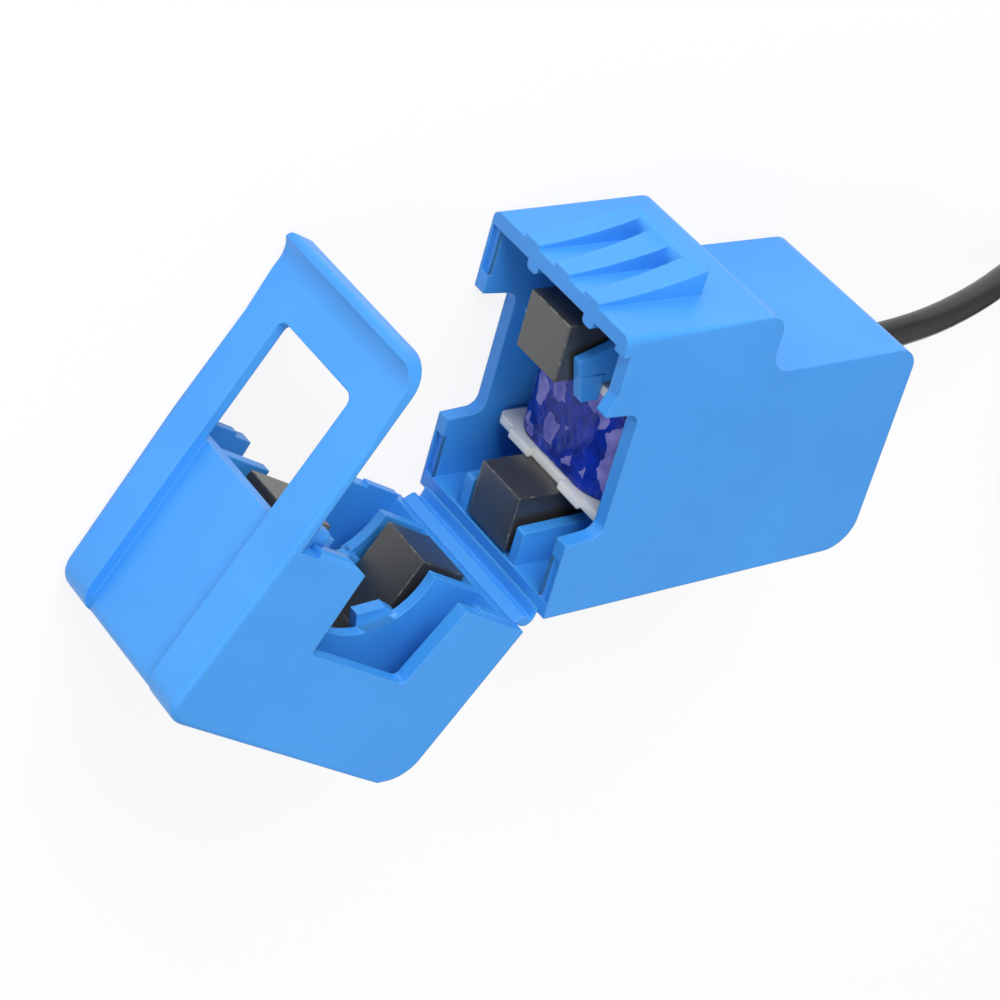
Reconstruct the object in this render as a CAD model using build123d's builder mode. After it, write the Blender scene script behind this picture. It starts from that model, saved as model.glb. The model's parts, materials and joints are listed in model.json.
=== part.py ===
from build123d import *
import math
import os

# A split-core current transformer that lies open on its large far face.
# X runs from the parting plane to the cable, Y from the hinge to the latch, Z up.
# The origin is on the axis of the conductor window, at the parting plane, on the face it lies on.

# Case, measured closed
DEPTH = 22.0
WIDTH = 31.0
BODY_LENGTH = 37.5
LID_LENGTH = 19.5
WALL = 1.5
HINGE_WALL = 1.6
DRAFT = 0.023
LATCH_DRAFT = 0.012
PARTING_GAP = 0.1

# Step at the cable end
STEP_X = 18.6
STEP_DROP = 6.7
STEP_TOP_RADIUS = 2.0
STEP_FOOT_RADIUS = 2.5
END_HINGE_RADIUS = 3.4
END_TOP_RADIUS = 2.4
LID_HINGE_RADIUS = 3.7
LID_LATCH_RADIUS = 2.2

# Conductor window, widest at the parting plane
WINDOW_WIDTH = 14.3
WINDOW_TAPER = 0.087
BODY_WINDOW_DEPTH = 4.0
LID_WINDOW_DEPTH = 9.0
BODY_WINDOW_RADIUS = 1.3
LID_WINDOW_RADIUS = 0.6

# Rims: a thin outer lip, with the lid's tongues inside it, and a longer jaw on the lid's near side
RIM_LIP = 0.3
LEDGE_DEPTH = 0.4
LEDGE_MARGIN = 1.95
TONGUE_HEIGHT = 0.3
TONGUE_CLEARANCE = 0.2
JAW_STEP = 0.6
JAW_RISE = 2.0
JAW_END_MARGIN = 2.2
RIM_CLEARANCE = 0.15
TAB_LENGTH = 1.9
TAB_WIDTH = 1.65
TAB_THICKNESS = 0.9
TAB_CLEARANCE = 0.2
TAB_LATCH_CLEARANCE = 0.35
TAB_RADIUS = 0.5
TAB_ROOT = 2.9

# Small ribs under the latch wall at the mouth
RIB_RISE = 0.9
RIB_WIDTH = 1.6
RIB_LENGTH = 6.0
RIB_RADIUS = 0.5
NEAR_RIB_MARGIN = 2.0
FAR_RIB_MARGIN = 0.8

# Hinge
OPEN_ANGLE = 62.5
HINGE_X = -0.14
HINGE_OFFSET = 2.08
WEB_FAR_MARGIN = 1.0
WEB_NEAR_MARGIN = 1.1
WEB_ROOT = 0.5
WEB_LID_ROOT = 0.65
WEB_SAG = 0.75
# Its inner line from body to lid: share of the way across, share of the sag
WEB_INNER = ((0.18, 0.8), (0.3, 1.0), (0.46, 0.6), (0.69, 0.33), (0.97, 0.67))

# Latch: ramps on the body, flap on the lid
RAMP_COUNT = 3
RAMP_PITCH = 4.85
RAMP_WIDTH = 2.2
RAMP_REAR_WIDTH = 2.95
RAMP_FRONT_X = 0.0
RAMP_REAR_X = 11.7
RAMP_FRONT_HEIGHT = 0.45
RAMP_SCOOP = 0.28
RAMP_HEIGHT = 2.5
RAMP_REAR_WALL = 1.0
FLAP_THICKNESS = 1.1
FLAP_CLEARANCE = 0.1
FLAP_BAR_CLEARANCE = 1.3
FLAP_BAR_WIDTH = 6.5
FLAP_TAPER = 0.35
FLAP_HEEL_RADIUS = 2.6
RAIL_WIDTH = 4.9
FLAP_TIP_RADIUS = 3.0
FLAP_WINDOW_RADIUS = 1.0
THUMB_LIP_LENGTH = 0.8
THUMB_LIP_HEIGHT = 1.0
THUMB_LIP_RADIUS = 0.35
THUMB_CURVE_LENGTH = 2.6
THUMB_CURVE_MIDDLE = (0.65, 0.3)

# Magnetic cores
CORE_THICKNESS = 6.3
CORE_LEG = 6.0
CORE_HINGE_CLEARANCE = 0.5
CORE_LATCH_CLEARANCE = 2.3
CORE_BACK_CLEARANCE = 0.4
CORE_EDGE = 0.7
CORE_INNER_RADIUS = 0.1
CORE_CLEARANCE = 0.05

# Plates that hold the cores
FINGER_THICKNESS = 1.2
FINGER_GAP = 0.65
FINGER_FRONT_X = 0.2
FINGER_LENGTH = 9.5
FINGER_HEIGHT = 3.8
FINGER_RISE = 0.4
FINGER_RADIUS = 0.25
HIGH_FINGER_FRONT_X = 1.1
HIGH_FINGER_RAKE = 1.35
HIGH_FINGER_BELOW = 1.55
HIGH_FINGER_ABOVE = 2.9
HIGH_FINGER_SLOPE = 0.375
HIGH_FINGER_THICKNESS = 1.0
HIGH_FINGER_GAP = 0.4
HIGH_FINGER_STEP = 0.12
HIGH_FINGER_STEP_Y = 1.25
FORMER_CLEARANCE = 0.3
PLATE_THICKNESS = 1.1
PLATE_GAP = 1.4
PLATE_FRONT_X = 0.15
# Arcs of the lid's near and far finger plates: distance of the centre from the parting plane, radius
NEAR_ARC = (1.5, 7.2)
FAR_ARC = (0.6, 8.2)
# Ledge under each arc, over the core's inner corner: degrees round the arc, distance in from its edge
LEDGE_PLAN = ((27, 1.4), (56, 0.9), (62, -0.8), (30, -0.8))
LEDGE_THICKNESS = 1.2

# Coil former and winding
BOBBIN_CLEARANCE = 0.1
BOBBIN_SIDE_MARGIN = 1.0
BOBBIN_SIDE_EXTRA = 0.25
BOBBIN_FLANGE_THICKNESS = 1.0
BOBBIN_RADIUS = 0.8
BOBBIN_TUBE_WALL = 0.8
BOBBIN_TAB = 0.5
BOBBIN_TAB_WIDTH = 3.4
TERMINAL_RAIL_LENGTH = 2.0
TERMINAL_RAIL_HEIGHT = 2.5
WINDING_MARGIN = 0.3
TAPE_THICKNESS = 0.25
TAPE_RADIUS = 4.6
WINDING_CLEARANCE = 0.02
PIN_SIZE = 0.7
PIN_LENGTH = 6.3
PIN_SPACING = 7.0

# Clamp diode and wires
DIODE_RADIUS = 1.3
DIODE_LENGTH = 4.6
DIODE_DROP = 2.2
DIODE_SETBACK = 3.4
DIODE_CHAMFER = 0.25
LEAD_RADIUS = 0.3
LEAD_BEND = 0.6
CORE_WIRE_RADIUS = 0.6
CORE_WIRE_BEND = 0.7
CORE_WIRE_LOOP = 2.2
CORE_WIRE_STRIP = 1.8
WIRE_END_GAP = 0.06
WIRE_SIDES = 8

# Foam pad behind the lid's core
PAD_THICKNESS = 2.4
PAD_CLEARANCE = 0.05
PAD_MARGIN = 0.15
PAD_RADIUS = 0.6

# Cable
CABLE_RADIUS = 1.5
CABLE_SIDES = 12
CABLE_BELOW_STEP = 6.7
CABLE_INSIDE = 6.5
CABLE_STRAIGHT = 7.5
CABLE_TILT = (0.3, -0.4)
CABLE_HOLE_CLEARANCE = 0.15
FLOOR_CLEARANCE = 0.05
TIE_THICKNESS = 0.9
TIE_WIDTH = 2.2
TIE_HEAD = 3.4
TIE_RADIUS = 0.5
TIE_CLEARANCE = 0.08
TIE_ABOVE_EXIT = 0.1
COIL_CENTRE = (103.5, -15.5)
COIL_RADIUS = 17.5
COIL_SECTION = 9.2
COIL_TIE_THICKNESS = 0.5
COIL_TIE_WIDTH = 5.0
COIL_TIE_PLAY = 0.4
COIL_TIE_FIT = 0.02

# Plug
PLUG_BODY_RADIUS = 4.0
PLUG_BODY_LENGTH = 22.0
PLUG_NECK_RADIUS = 2.6
PLUG_NECK_LENGTH = 6.0
PLUG_SHAFT_RADIUS = 1.75
PLUG_SLEEVE_LENGTH = 6.4
PLUG_RING_LENGTH = 2.2
PLUG_INSULATOR_LENGTH = 0.7
PLUG_TIP_LENGTH = 4.2
PLUG_TIP_WAIST = 1.15
PLUG_TIP_NOTCH = (1.1, 1.4)
PLUG_TIP_SHOULDER = (2.2, 2.6)
PLUG_TIP_TAPER = 0.1
PLUG_TIP_END_RADIUS = 0.5
PLUG_CHAMFER = 0.6

# Sizes that follow
HALF_WIDTH = WIDTH / 2
MID_Z = DEPTH / 2
STEP_Y = HALF_WIDTH - STEP_DROP
HINGE_Y = -HALF_WIDTH - HINGE_OFFSET
WINDOW_EDGE_Y = WINDOW_WIDTH / 2
JAW_FULL_Y = WINDOW_EDGE_Y + JAW_RISE
JAW_END_Y = HALF_WIDTH - JAW_END_MARGIN
CORE_LOW_Y = -HALF_WIDTH + HINGE_WALL + CORE_HINGE_CLEARANCE
CORE_HIGH_Y = HALF_WIDTH - WALL - CORE_LATCH_CLEARANCE
LOW_LEG_Y = CORE_LOW_Y + CORE_LEG
HIGH_LEG_Y = CORE_HIGH_Y - CORE_LEG
CORE_TOP_Z = MID_Z + CORE_THICKNESS / 2
FIXED_CORE_LENGTH = STEP_X - WALL - CORE_BACK_CLEARANCE
LID_CORE_LENGTH = LID_LENGTH - WALL - PAD_THICKNESS - 2 * PAD_CLEARANCE
YOKE_X = FIXED_CORE_LENGTH - CORE_LEG / 2
BOBBIN_FLANGE = DEPTH - 2 * (WALL + BOBBIN_SIDE_MARGIN)
BOBBIN_LOW_Y = LOW_LEG_Y + BOBBIN_CLEARANCE / 2
BOBBIN_HIGH_Y = HIGH_LEG_Y - BOBBIN_CLEARANCE / 2
RAMP_BLOCK = (RAMP_COUNT - 1) * RAMP_PITCH + RAMP_WIDTH
FLAP_WINDOW_X = RAMP_REAR_X + FLAP_BAR_CLEARANCE
FLAP_TIP_X = FLAP_WINDOW_X + FLAP_BAR_WIDTH
CABLE_EXIT_Y = STEP_Y - CABLE_BELOW_STEP
CABLE_EXIT_Z = MID_Z


def opened(x, y):
    """A point of the closed lid, turned open about the hinge axis."""
    turn = math.radians(OPEN_ANGLE)
    dx, dy = x - HINGE_X, y - HINGE_Y
    return (
        HINGE_X + dx * math.cos(turn) - dy * math.sin(turn),
        HINGE_Y + dx * math.sin(turn) + dy * math.cos(turn),
    )


# How far a cutter runs past what it cuts
PAST = 1.0

# Both halves are drawn as if closed: the body on BODY, the lid on LID, which is that frame opened.
BODY = Plane.XY
LID = Plane(
    origin=(*opened(0, 0), 0),
    x_dir=(math.cos(math.radians(OPEN_ANGLE)), math.sin(math.radians(OPEN_ANGLE)), 0),
    z_dir=(0, 0, 1),
)


def level(base, z):
    """Plane seen from above, at height z of a half."""
    return base.offset(z)


def section(base, y=0.0):
    """Plane seen from the hinge side: its x is the half's X and its y is Z."""
    return Plane(origin=base.from_local_coords((0, y, 0)), x_dir=base.x_dir, z_dir=-base.y_dir)


def front(base, x):
    """Plane seen along X: its x is the half's Y and its y is Z."""
    return Plane(origin=base.from_local_coords((x, 0, 0)), x_dir=base.y_dir, z_dir=base.x_dir)


def outline(*corners):
    """Face through corners (x, y, radius); radius 0 leaves a corner sharp."""
    with BuildSketch() as flat:
        with BuildLine():
            Polyline(*[(x, y) for x, y, radius in corners], close=True)
        make_face()
        for x, y, radius in corners:
            if radius:
                fillet(flat.vertices().sort_by_distance((x, y))[0], radius)
    return flat.sketch


def slab(base, face, low, high):
    """Solid of one outline between two heights of a half."""
    with BuildPart() as block:
        with BuildSketch(level(base, low)):
            add(face)
        extrude(amount=high - low)
    return block.part


def drafted(base, face, side, inset):
    """Outline through the case's depth, thinner away from the parting plane by the mould's draft."""
    far = side * 2 * BODY_LENGTH
    near = -side * 2 * PAST
    with BuildPart() as block:
        with BuildSketch(level(base, 0)):
            add(face)
        extrude(amount=DEPTH)
        with BuildSketch(section(base)):
            with BuildLine():
                Polyline(
                    (near, inset - 2 * PAST * DRAFT),
                    (far, inset + abs(far) * DRAFT),
                    (far, DEPTH - inset - abs(far) * DRAFT),
                    (near, DEPTH - inset + 2 * PAST * DRAFT),
                    close=True,
                )
            make_face()
        extrude(amount=2 * WIDTH, both=True, mode=Mode.INTERSECT)
    return block.part


def u_core(base, side, length):
    """Square-section U core with its two pole faces at the parting plane."""
    face_x = side * CORE_CLEARANCE
    back_x = side * length
    inner_x = side * (length - CORE_LEG)
    profile = outline(
        (face_x, CORE_LOW_Y, 0),
        (back_x, CORE_LOW_Y, CORE_EDGE),
        (back_x, CORE_HIGH_Y, CORE_EDGE),
        (face_x, CORE_HIGH_Y, 0),
        (face_x, HIGH_LEG_Y, 0),
        (inner_x, HIGH_LEG_Y, CORE_INNER_RADIUS),
        (inner_x, LOW_LEG_Y, CORE_INNER_RADIUS),
        (face_x, LOW_LEG_Y, 0),
    )
    return slab(base, profile, CORE_TOP_Z - CORE_THICKNESS, CORE_TOP_Z)


def window_notch(base, side, depth, radius):
    """Cutter for the conductor window through both large walls of one half."""
    mouth = WINDOW_EDGE_Y + WINDOW_TAPER * PAST
    deep = WINDOW_EDGE_Y - WINDOW_TAPER * depth
    notch = outline(
        (-side * PAST, -mouth, 0),
        (side * depth, -deep, radius),
        (side * depth, deep, radius),
        (-side * PAST, mouth, 0),
    )
    return slab(base, notch, -PAST, DEPTH + PAST)


def rim_blocks(base, height, lip, play):
    """Blocks along the inner edge of three rims: the body's ledges, and the lid's tongues that fill them."""
    low = (-HALF_WIDTH + HINGE_WALL + play, -WINDOW_EDGE_Y - LEDGE_MARGIN - play)
    high = (WINDOW_EDGE_Y + LEDGE_MARGIN + play, HALF_WIDTH - WALL - play)
    with BuildPart() as blocks:
        for (y0, y1), far in ((low, True), (high, True), (low, False)):
            z0, z1 = (lip, WALL) if far else (DEPTH - WALL, DEPTH - lip)
            with BuildSketch(front(base, -height)):
                with Locations(((y0 + y1) / 2, (z0 + z1) / 2)):
                    Rectangle(y1 - y0, z1 - z0)
            extrude(amount=2 * height)
    return blocks.part


# Body
body_face = outline(
    (0, -HALF_WIDTH, 0),
    (BODY_LENGTH, -HALF_WIDTH + DRAFT * BODY_LENGTH, END_HINGE_RADIUS),
    (BODY_LENGTH, STEP_Y, END_TOP_RADIUS),
    (STEP_X, STEP_Y, STEP_FOOT_RADIUS),
    (STEP_X, HALF_WIDTH - LATCH_DRAFT * STEP_X, STEP_TOP_RADIUS),
    (0, HALF_WIDTH, 0),
)
body_hollow = outline(
    (-PAST, -HALF_WIDTH + HINGE_WALL, 0),
    (BODY_LENGTH - WALL, -HALF_WIDTH + HINGE_WALL + DRAFT * BODY_LENGTH, END_HINGE_RADIUS - WALL),
    (BODY_LENGTH - WALL, STEP_Y - WALL, END_TOP_RADIUS - WALL),
    (STEP_X - WALL, STEP_Y - WALL, STEP_FOOT_RADIUS - WALL),
    (STEP_X - WALL, HALF_WIDTH - WALL - LATCH_DRAFT * STEP_X, STEP_TOP_RADIUS - WALL),
    (-PAST, HALF_WIDTH - WALL, 0),
)
ramp_low_z = MID_Z - RAMP_BLOCK / 2
ramp_profile_base = HALF_WIDTH - WALL / 2

with BuildPart() as catch_ramps:
    with BuildSketch(level(BODY, ramp_low_z)):
        with BuildLine():
            Line((RAMP_REAR_X, ramp_profile_base), (RAMP_FRONT_X, ramp_profile_base))
            Line((RAMP_FRONT_X, ramp_profile_base), (RAMP_FRONT_X, HALF_WIDTH + RAMP_FRONT_HEIGHT))
            ThreePointArc(
                (RAMP_FRONT_X, HALF_WIDTH + RAMP_FRONT_HEIGHT),
                ((RAMP_FRONT_X + RAMP_REAR_X) / 2, HALF_WIDTH + RAMP_FRONT_HEIGHT + RAMP_SCOOP * RAMP_HEIGHT),
                (RAMP_REAR_X, HALF_WIDTH + RAMP_HEIGHT),
            )
            Line((RAMP_REAR_X, HALF_WIDTH + RAMP_HEIGHT), (RAMP_REAR_X, ramp_profile_base))
        make_face()
    extrude(amount=RAMP_BLOCK)
    with BuildSketch(section(BODY)):
        for index in range(RAMP_COUNT):
            near_z = ramp_low_z + RAMP_WIDTH + index * RAMP_PITCH
            far_z = max(near_z - RAMP_REAR_WIDTH, ramp_low_z)
            with BuildLine():
                Polyline(
                    (RAMP_FRONT_X, near_z),
                    (RAMP_REAR_X, near_z),
                    (RAMP_REAR_X, far_z),
                    (RAMP_FRONT_X, near_z - RAMP_WIDTH),
                    close=True,
                )
            make_face()
        with Locations((RAMP_REAR_X - RAMP_REAR_WALL / 2, MID_Z)):
            Rectangle(RAMP_REAR_WALL, RAMP_BLOCK)
    extrude(amount=WIDTH, both=True, mode=Mode.INTERSECT)

low_finger = outline(
    (FINGER_FRONT_X, -HALF_WIDTH + HINGE_WALL / 2, 0),
    (FINGER_FRONT_X + FINGER_LENGTH, -HALF_WIDTH + HINGE_WALL / 2, 0),
    (FINGER_FRONT_X + FINGER_LENGTH, -HALF_WIDTH + HINGE_WALL + FINGER_HEIGHT + FINGER_RISE, FINGER_RADIUS),
    (FINGER_FRONT_X, -HALF_WIDTH + HINGE_WALL + FINGER_HEIGHT, FINGER_RADIUS),
)
# The high fingers rake back towards the window, and rise into the latch wall
former_front_x = YOKE_X - BOBBIN_FLANGE / 2 - BOBBIN_TAB - FORMER_CLEARANCE
high_finger_low_y = HIGH_LEG_Y - HIGH_FINGER_BELOW
high_finger_top_y = HIGH_LEG_Y + HIGH_FINGER_ABOVE
high_finger_back_x = STEP_X - WALL / 2
high_finger = outline(
    (HIGH_FINGER_FRONT_X + HIGH_FINGER_RAKE, high_finger_low_y, FINGER_RADIUS),
    (former_front_x, high_finger_low_y, 0),
    (former_front_x, BOBBIN_HIGH_Y + FORMER_CLEARANCE, 0),
    (high_finger_back_x, BOBBIN_HIGH_Y + FORMER_CLEARANCE, 0),
    (high_finger_back_x, HALF_WIDTH - WALL / 2, 0),
    (HIGH_FINGER_FRONT_X + (HALF_WIDTH - WALL / 2 - high_finger_top_y) / HIGH_FINGER_SLOPE,
     HALF_WIDTH - WALL / 2, 0),
    (HIGH_FINGER_FRONT_X, high_finger_top_y, FINGER_RADIUS),
)
high_finger_step_x = HIGH_FINGER_FRONT_X + HIGH_FINGER_RAKE * (
    (high_finger_top_y - HIGH_LEG_Y - HIGH_FINGER_STEP_Y) / (high_finger_top_y - high_finger_low_y)
)
high_finger_foot = outline(
    (HIGH_FINGER_FRONT_X + HIGH_FINGER_RAKE, high_finger_low_y, FINGER_RADIUS),
    (former_front_x, high_finger_low_y, 0),
    (former_front_x, HIGH_LEG_Y + HIGH_FINGER_STEP_Y, 0),
    (high_finger_step_x, HIGH_LEG_Y + HIGH_FINGER_STEP_Y, 0),
)
near_finger_z = CORE_TOP_Z + FINGER_GAP
near_high_finger_z = CORE_TOP_Z + HIGH_FINGER_GAP

with BuildPart() as case_body:
    add(drafted(BODY, body_face, 1, 0))
    add(drafted(BODY, body_hollow, 1, WALL), mode=Mode.SUBTRACT)
    add(window_notch(BODY, 1, BODY_WINDOW_DEPTH, BODY_WINDOW_RADIUS), mode=Mode.SUBTRACT)
    add(rim_blocks(BODY, LEDGE_DEPTH, RIM_LIP, 0), mode=Mode.SUBTRACT)
    # Recess in the near jaw for the lid's longer jaw
    add(
        slab(
            BODY,
            outline(
                (-PAST, WINDOW_EDGE_Y + RIM_CLEARANCE, 0),
                (0, WINDOW_EDGE_Y + RIM_CLEARANCE, 0),
                (JAW_STEP + RIM_CLEARANCE, JAW_FULL_Y, 0),
                (JAW_STEP + RIM_CLEARANCE, JAW_END_Y + RIM_CLEARANCE, 0),
                (-PAST, JAW_END_Y + RIM_CLEARANCE, 0),
            ),
            DEPTH - 2 * WALL,
            DEPTH + PAST,
        ),
        mode=Mode.SUBTRACT,
    )
    add(catch_ramps.part)
    # Finger plates each side of the core's legs
    for z in (near_finger_z, DEPTH - near_finger_z - FINGER_THICKNESS):
        add(slab(BODY, low_finger, z, z + FINGER_THICKNESS))
    near_z = near_high_finger_z + HIGH_FINGER_THICKNESS
    for face, thickness, back in ((high_finger, HIGH_FINGER_THICKNESS, 0),
                                  (high_finger_foot, HIGH_FINGER_THICKNESS / 2, HIGH_FINGER_STEP)):
        add(slab(BODY, face, near_z - thickness, near_z + back))
        add(slab(BODY, face, DEPTH - near_z - back, DEPTH - near_z + thickness))
    # Small ribs under the latch wall at the mouth
    for z in (CORE_TOP_Z + NEAR_RIB_MARGIN, DEPTH - CORE_TOP_Z - FAR_RIB_MARGIN):
        with BuildSketch(front(BODY, 0)):
            with Locations((HALF_WIDTH - WALL - RIB_RISE + (RIB_RISE + WALL / 2) / 2, z)):
                RectangleRounded(RIB_RISE + WALL / 2, RIB_WIDTH, RIB_RADIUS)
        extrude(amount=RIB_LENGTH)
    # Cable hole
    with BuildSketch(front(BODY, BODY_LENGTH - 2 * WALL)):
        with Locations((CABLE_EXIT_Y, CABLE_EXIT_Z)):
            Circle(CABLE_RADIUS + CABLE_HOLE_CLEARANCE)
    extrude(amount=4 * WALL, mode=Mode.SUBTRACT)

# Lid, drawn closed: its X is negative
lid_top_y = HALF_WIDTH - LATCH_DRAFT * LID_LENGTH
lid_face = outline(
    (-PARTING_GAP, -HALF_WIDTH, 0),
    (-LID_LENGTH, -HALF_WIDTH + DRAFT * LID_LENGTH, LID_HINGE_RADIUS),
    (-LID_LENGTH, lid_top_y, LID_LATCH_RADIUS),
    (-PARTING_GAP, HALF_WIDTH, 0),
)
lid_hollow = outline(
    (PAST, -HALF_WIDTH + HINGE_WALL, 0),
    (-LID_LENGTH + WALL, -HALF_WIDTH + HINGE_WALL + DRAFT * LID_LENGTH, LID_HINGE_RADIUS - WALL),
    (-LID_LENGTH + WALL, lid_top_y - WALL, LID_LATCH_RADIUS - WALL),
    (PAST, HALF_WIDTH - WALL, 0),
)
flap_low_y = HALF_WIDTH + FLAP_CLEARANCE
flap_high_y = flap_low_y + FLAP_THICKNESS
lip_x = FLAP_TIP_X - THUMB_LIP_LENGTH
lip_y = flap_high_y + THUMB_LIP_HEIGHT
lip_foot_x = lip_x - THUMB_CURVE_LENGTH
plate_far_x = -LID_LENGTH + WALL / 2
near_plate_z = CORE_TOP_Z + PLATE_GAP

with BuildPart() as latch_flap:
    with BuildSketch(level(LID, 0)) as rail_profile:
        with BuildLine():
            Polyline(
                (lip_foot_x, flap_high_y),
                (-LID_LENGTH, flap_high_y),
                (-LID_LENGTH, lid_top_y - WALL),
                (-PARTING_GAP, HALF_WIDTH - WALL),
                (-PARTING_GAP, flap_low_y),
                (FLAP_TIP_X, flap_low_y),
                (FLAP_TIP_X, lip_y),
                (lip_x, lip_y),
            )
            # The thumb lip rises out of the flap in a hollow curve
            ThreePointArc(
                (lip_foot_x, flap_high_y),
                (
                    lip_foot_x + THUMB_CURVE_LENGTH * THUMB_CURVE_MIDDLE[0],
                    flap_high_y + THUMB_LIP_HEIGHT * THUMB_CURVE_MIDDLE[1],
                ),
                (lip_x, lip_y),
            )
        make_face()
        corners = rail_profile.vertices()
        fillet(corners.sort_by_distance((FLAP_TIP_X, lip_y))[0], THUMB_LIP_RADIUS)
        fillet(corners.sort_by_distance((-LID_LENGTH, flap_high_y))[0], FLAP_HEEL_RADIUS)
    extrude(amount=DEPTH)
    # Drafted ends beside the lid, rounded tip corner and the window between the rails
    with BuildSketch(section(LID)) as flap_plan:
        with BuildLine():
            Polyline(
                (-LID_LENGTH, DRAFT * LID_LENGTH),
                (0, 0),
                (FLAP_TIP_X, FLAP_TAPER),
                (FLAP_TIP_X, DEPTH - FLAP_TAPER),
                (0, DEPTH),
                (-LID_LENGTH, DEPTH - DRAFT * LID_LENGTH),
                close=True,
            )
        make_face()
        fillet(flap_plan.vertices().sort_by_distance((FLAP_TIP_X, DEPTH))[0], FLAP_TIP_RADIUS)
        fillet(flap_plan.vertices().sort_by_distance((FLAP_TIP_X, 0))[0], FLAP_TIP_RADIUS / 3)
    extrude(amount=2 * WIDTH, both=True, mode=Mode.INTERSECT)

with BuildPart() as flap_window:
    with BuildSketch(section(LID, 2 * HALF_WIDTH)) as opening:
        with Locations(((FLAP_WINDOW_X - 2 * LID_LENGTH) / 2, MID_Z)):
            Rectangle(FLAP_WINDOW_X + 2 * LID_LENGTH, DEPTH - 2 * RAIL_WIDTH)
        fillet(opening.vertices().group_by(Axis.X)[-1], FLAP_WINDOW_RADIUS)
    extrude(amount=HALF_WIDTH)


def arc_plate(low_z, arc, ledge_z):
    """Finger plate of the lid, cut to an arc round the conductor, with the ledge beside its core."""
    centre, radius = arc
    meets_front = math.sqrt(radius**2 - (centre - PLATE_FRONT_X) ** 2)
    ledge = []
    for turn, inward in LEDGE_PLAN:
        away = (radius - inward) * math.cos(math.radians(turn))
        down = (radius - inward) * math.sin(math.radians(turn))
        ledge.append((-centre - away, -down))
    with BuildPart() as plate:
        with BuildSketch(level(LID, low_z)):
            with BuildLine():
                Polyline(
                    (-PLATE_FRONT_X, -meets_front),
                    (-PLATE_FRONT_X, -HALF_WIDTH + HINGE_WALL / 2),
                    (plate_far_x, -HALF_WIDTH + HINGE_WALL / 2 + DRAFT * LID_LENGTH),
                    (plate_far_x, HALF_WIDTH - WALL / 2 - LATCH_DRAFT * LID_LENGTH),
                    (-PLATE_FRONT_X, HALF_WIDTH - WALL / 2),
                    (-PLATE_FRONT_X, meets_front),
                )
                ThreePointArc(
                    (-PLATE_FRONT_X, meets_front), (-centre - radius, 0), (-PLATE_FRONT_X, -meets_front)
                )
            make_face()
        extrude(amount=PLATE_THICKNESS)
        with BuildSketch(level(LID, ledge_z)):
            with BuildLine():
                Polyline(*ledge, close=True)
            make_face()
        extrude(amount=LEDGE_THICKNESS)
    return plate.part


with BuildPart() as case_lid:
    add(drafted(LID, lid_face, -1, 0))
    add(drafted(LID, lid_hollow, -1, WALL), mode=Mode.SUBTRACT)
    add(window_notch(LID, -1, LID_WINDOW_DEPTH, LID_WINDOW_RADIUS), mode=Mode.SUBTRACT)
    add(latch_flap.part)
    # The hollow again, so that the flap's rails don't fill it
    add(drafted(LID, lid_hollow, -1, WALL), mode=Mode.SUBTRACT)
    add(flap_window.part, mode=Mode.SUBTRACT)
    add(arc_plate(near_plate_z, NEAR_ARC, near_plate_z - LEDGE_THICKNESS))
    far_plate_z = DEPTH - near_plate_z - PLATE_THICKNESS
    add(arc_plate(far_plate_z, FAR_ARC, far_plate_z + PLATE_THICKNESS))
    # The near jaw's step towards the body
    add(
        slab(
            LID,
            outline(
                (-WALL, WINDOW_EDGE_Y, 0),
                (-PARTING_GAP, WINDOW_EDGE_Y, 0),
                (JAW_STEP, JAW_FULL_Y + RIM_CLEARANCE, 0),
                (JAW_STEP, JAW_END_Y, 0),
                (-WALL, JAW_END_Y, 0),
            ),
            DEPTH - WALL,
            DEPTH - DRAFT * WALL,
        )
    )
    # Tongues that fill the body's ledges
    add(rim_blocks(LID, TONGUE_HEIGHT, RIM_LIP + TONGUE_CLEARANCE, TONGUE_CLEARANCE))
    # Guide tab that slides in behind the body's near wall
    tab_high_y = HALF_WIDTH - WALL - TAB_LATCH_CLEARANCE
    tab_top_z = DEPTH - WALL - TAB_CLEARANCE
    add(
        slab(
            LID,
            outline(
                (-TAB_ROOT, tab_high_y - TAB_WIDTH, 0),
                (TAB_LENGTH, tab_high_y - TAB_WIDTH, TAB_RADIUS),
                (TAB_LENGTH, tab_high_y, TAB_RADIUS),
                (-TAB_ROOT, tab_high_y, 0),
            ),
            tab_top_z - TAB_THICKNESS,
            tab_top_z,
        )
    )
    add(
        slab(
            LID,
            outline(
                (-TAB_ROOT, tab_high_y - TAB_WIDTH, 0),
                (-PARTING_GAP, tab_high_y - TAB_WIDTH, 0),
                (-PARTING_GAP, tab_high_y, 0),
                (-TAB_ROOT, tab_high_y, 0),
            ),
            tab_top_z - TAB_THICKNESS,
            DEPTH - WALL / 2,
        )
    )

# Hinge web: a film that sags into a trough beside the body and rises in a round bead beside the lid
lid_corner = opened(-PARTING_GAP, -HALF_WIDTH)
lid_inner = opened(-PARTING_GAP, -HALF_WIDTH + WEB_LID_ROOT)
with BuildPart() as hinge_web:
    with BuildSketch(level(BODY, WEB_FAR_MARGIN)):
        with BuildLine():
            ThreePointArc((0, -HALF_WIDTH), (lid_corner[0] / 2, -HALF_WIDTH - WEB_SAG - WEB_ROOT), lid_corner)
            Polyline(
                lid_corner,
                lid_inner,
                *[
                    (lid_corner[0] * across, -HALF_WIDTH - WEB_SAG * sag)
                    for across, sag in reversed(WEB_INNER)
                ],
                (0, -HALF_WIDTH + WEB_ROOT),
                (0, -HALF_WIDTH),
            )
        make_face()
    extrude(amount=DEPTH - WEB_FAR_MARGIN - WEB_NEAR_MARGIN)

fixed_core = u_core(BODY, 1, FIXED_CORE_LENGTH)
lid_core = u_core(LID, -1, LID_CORE_LENGTH)

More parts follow.
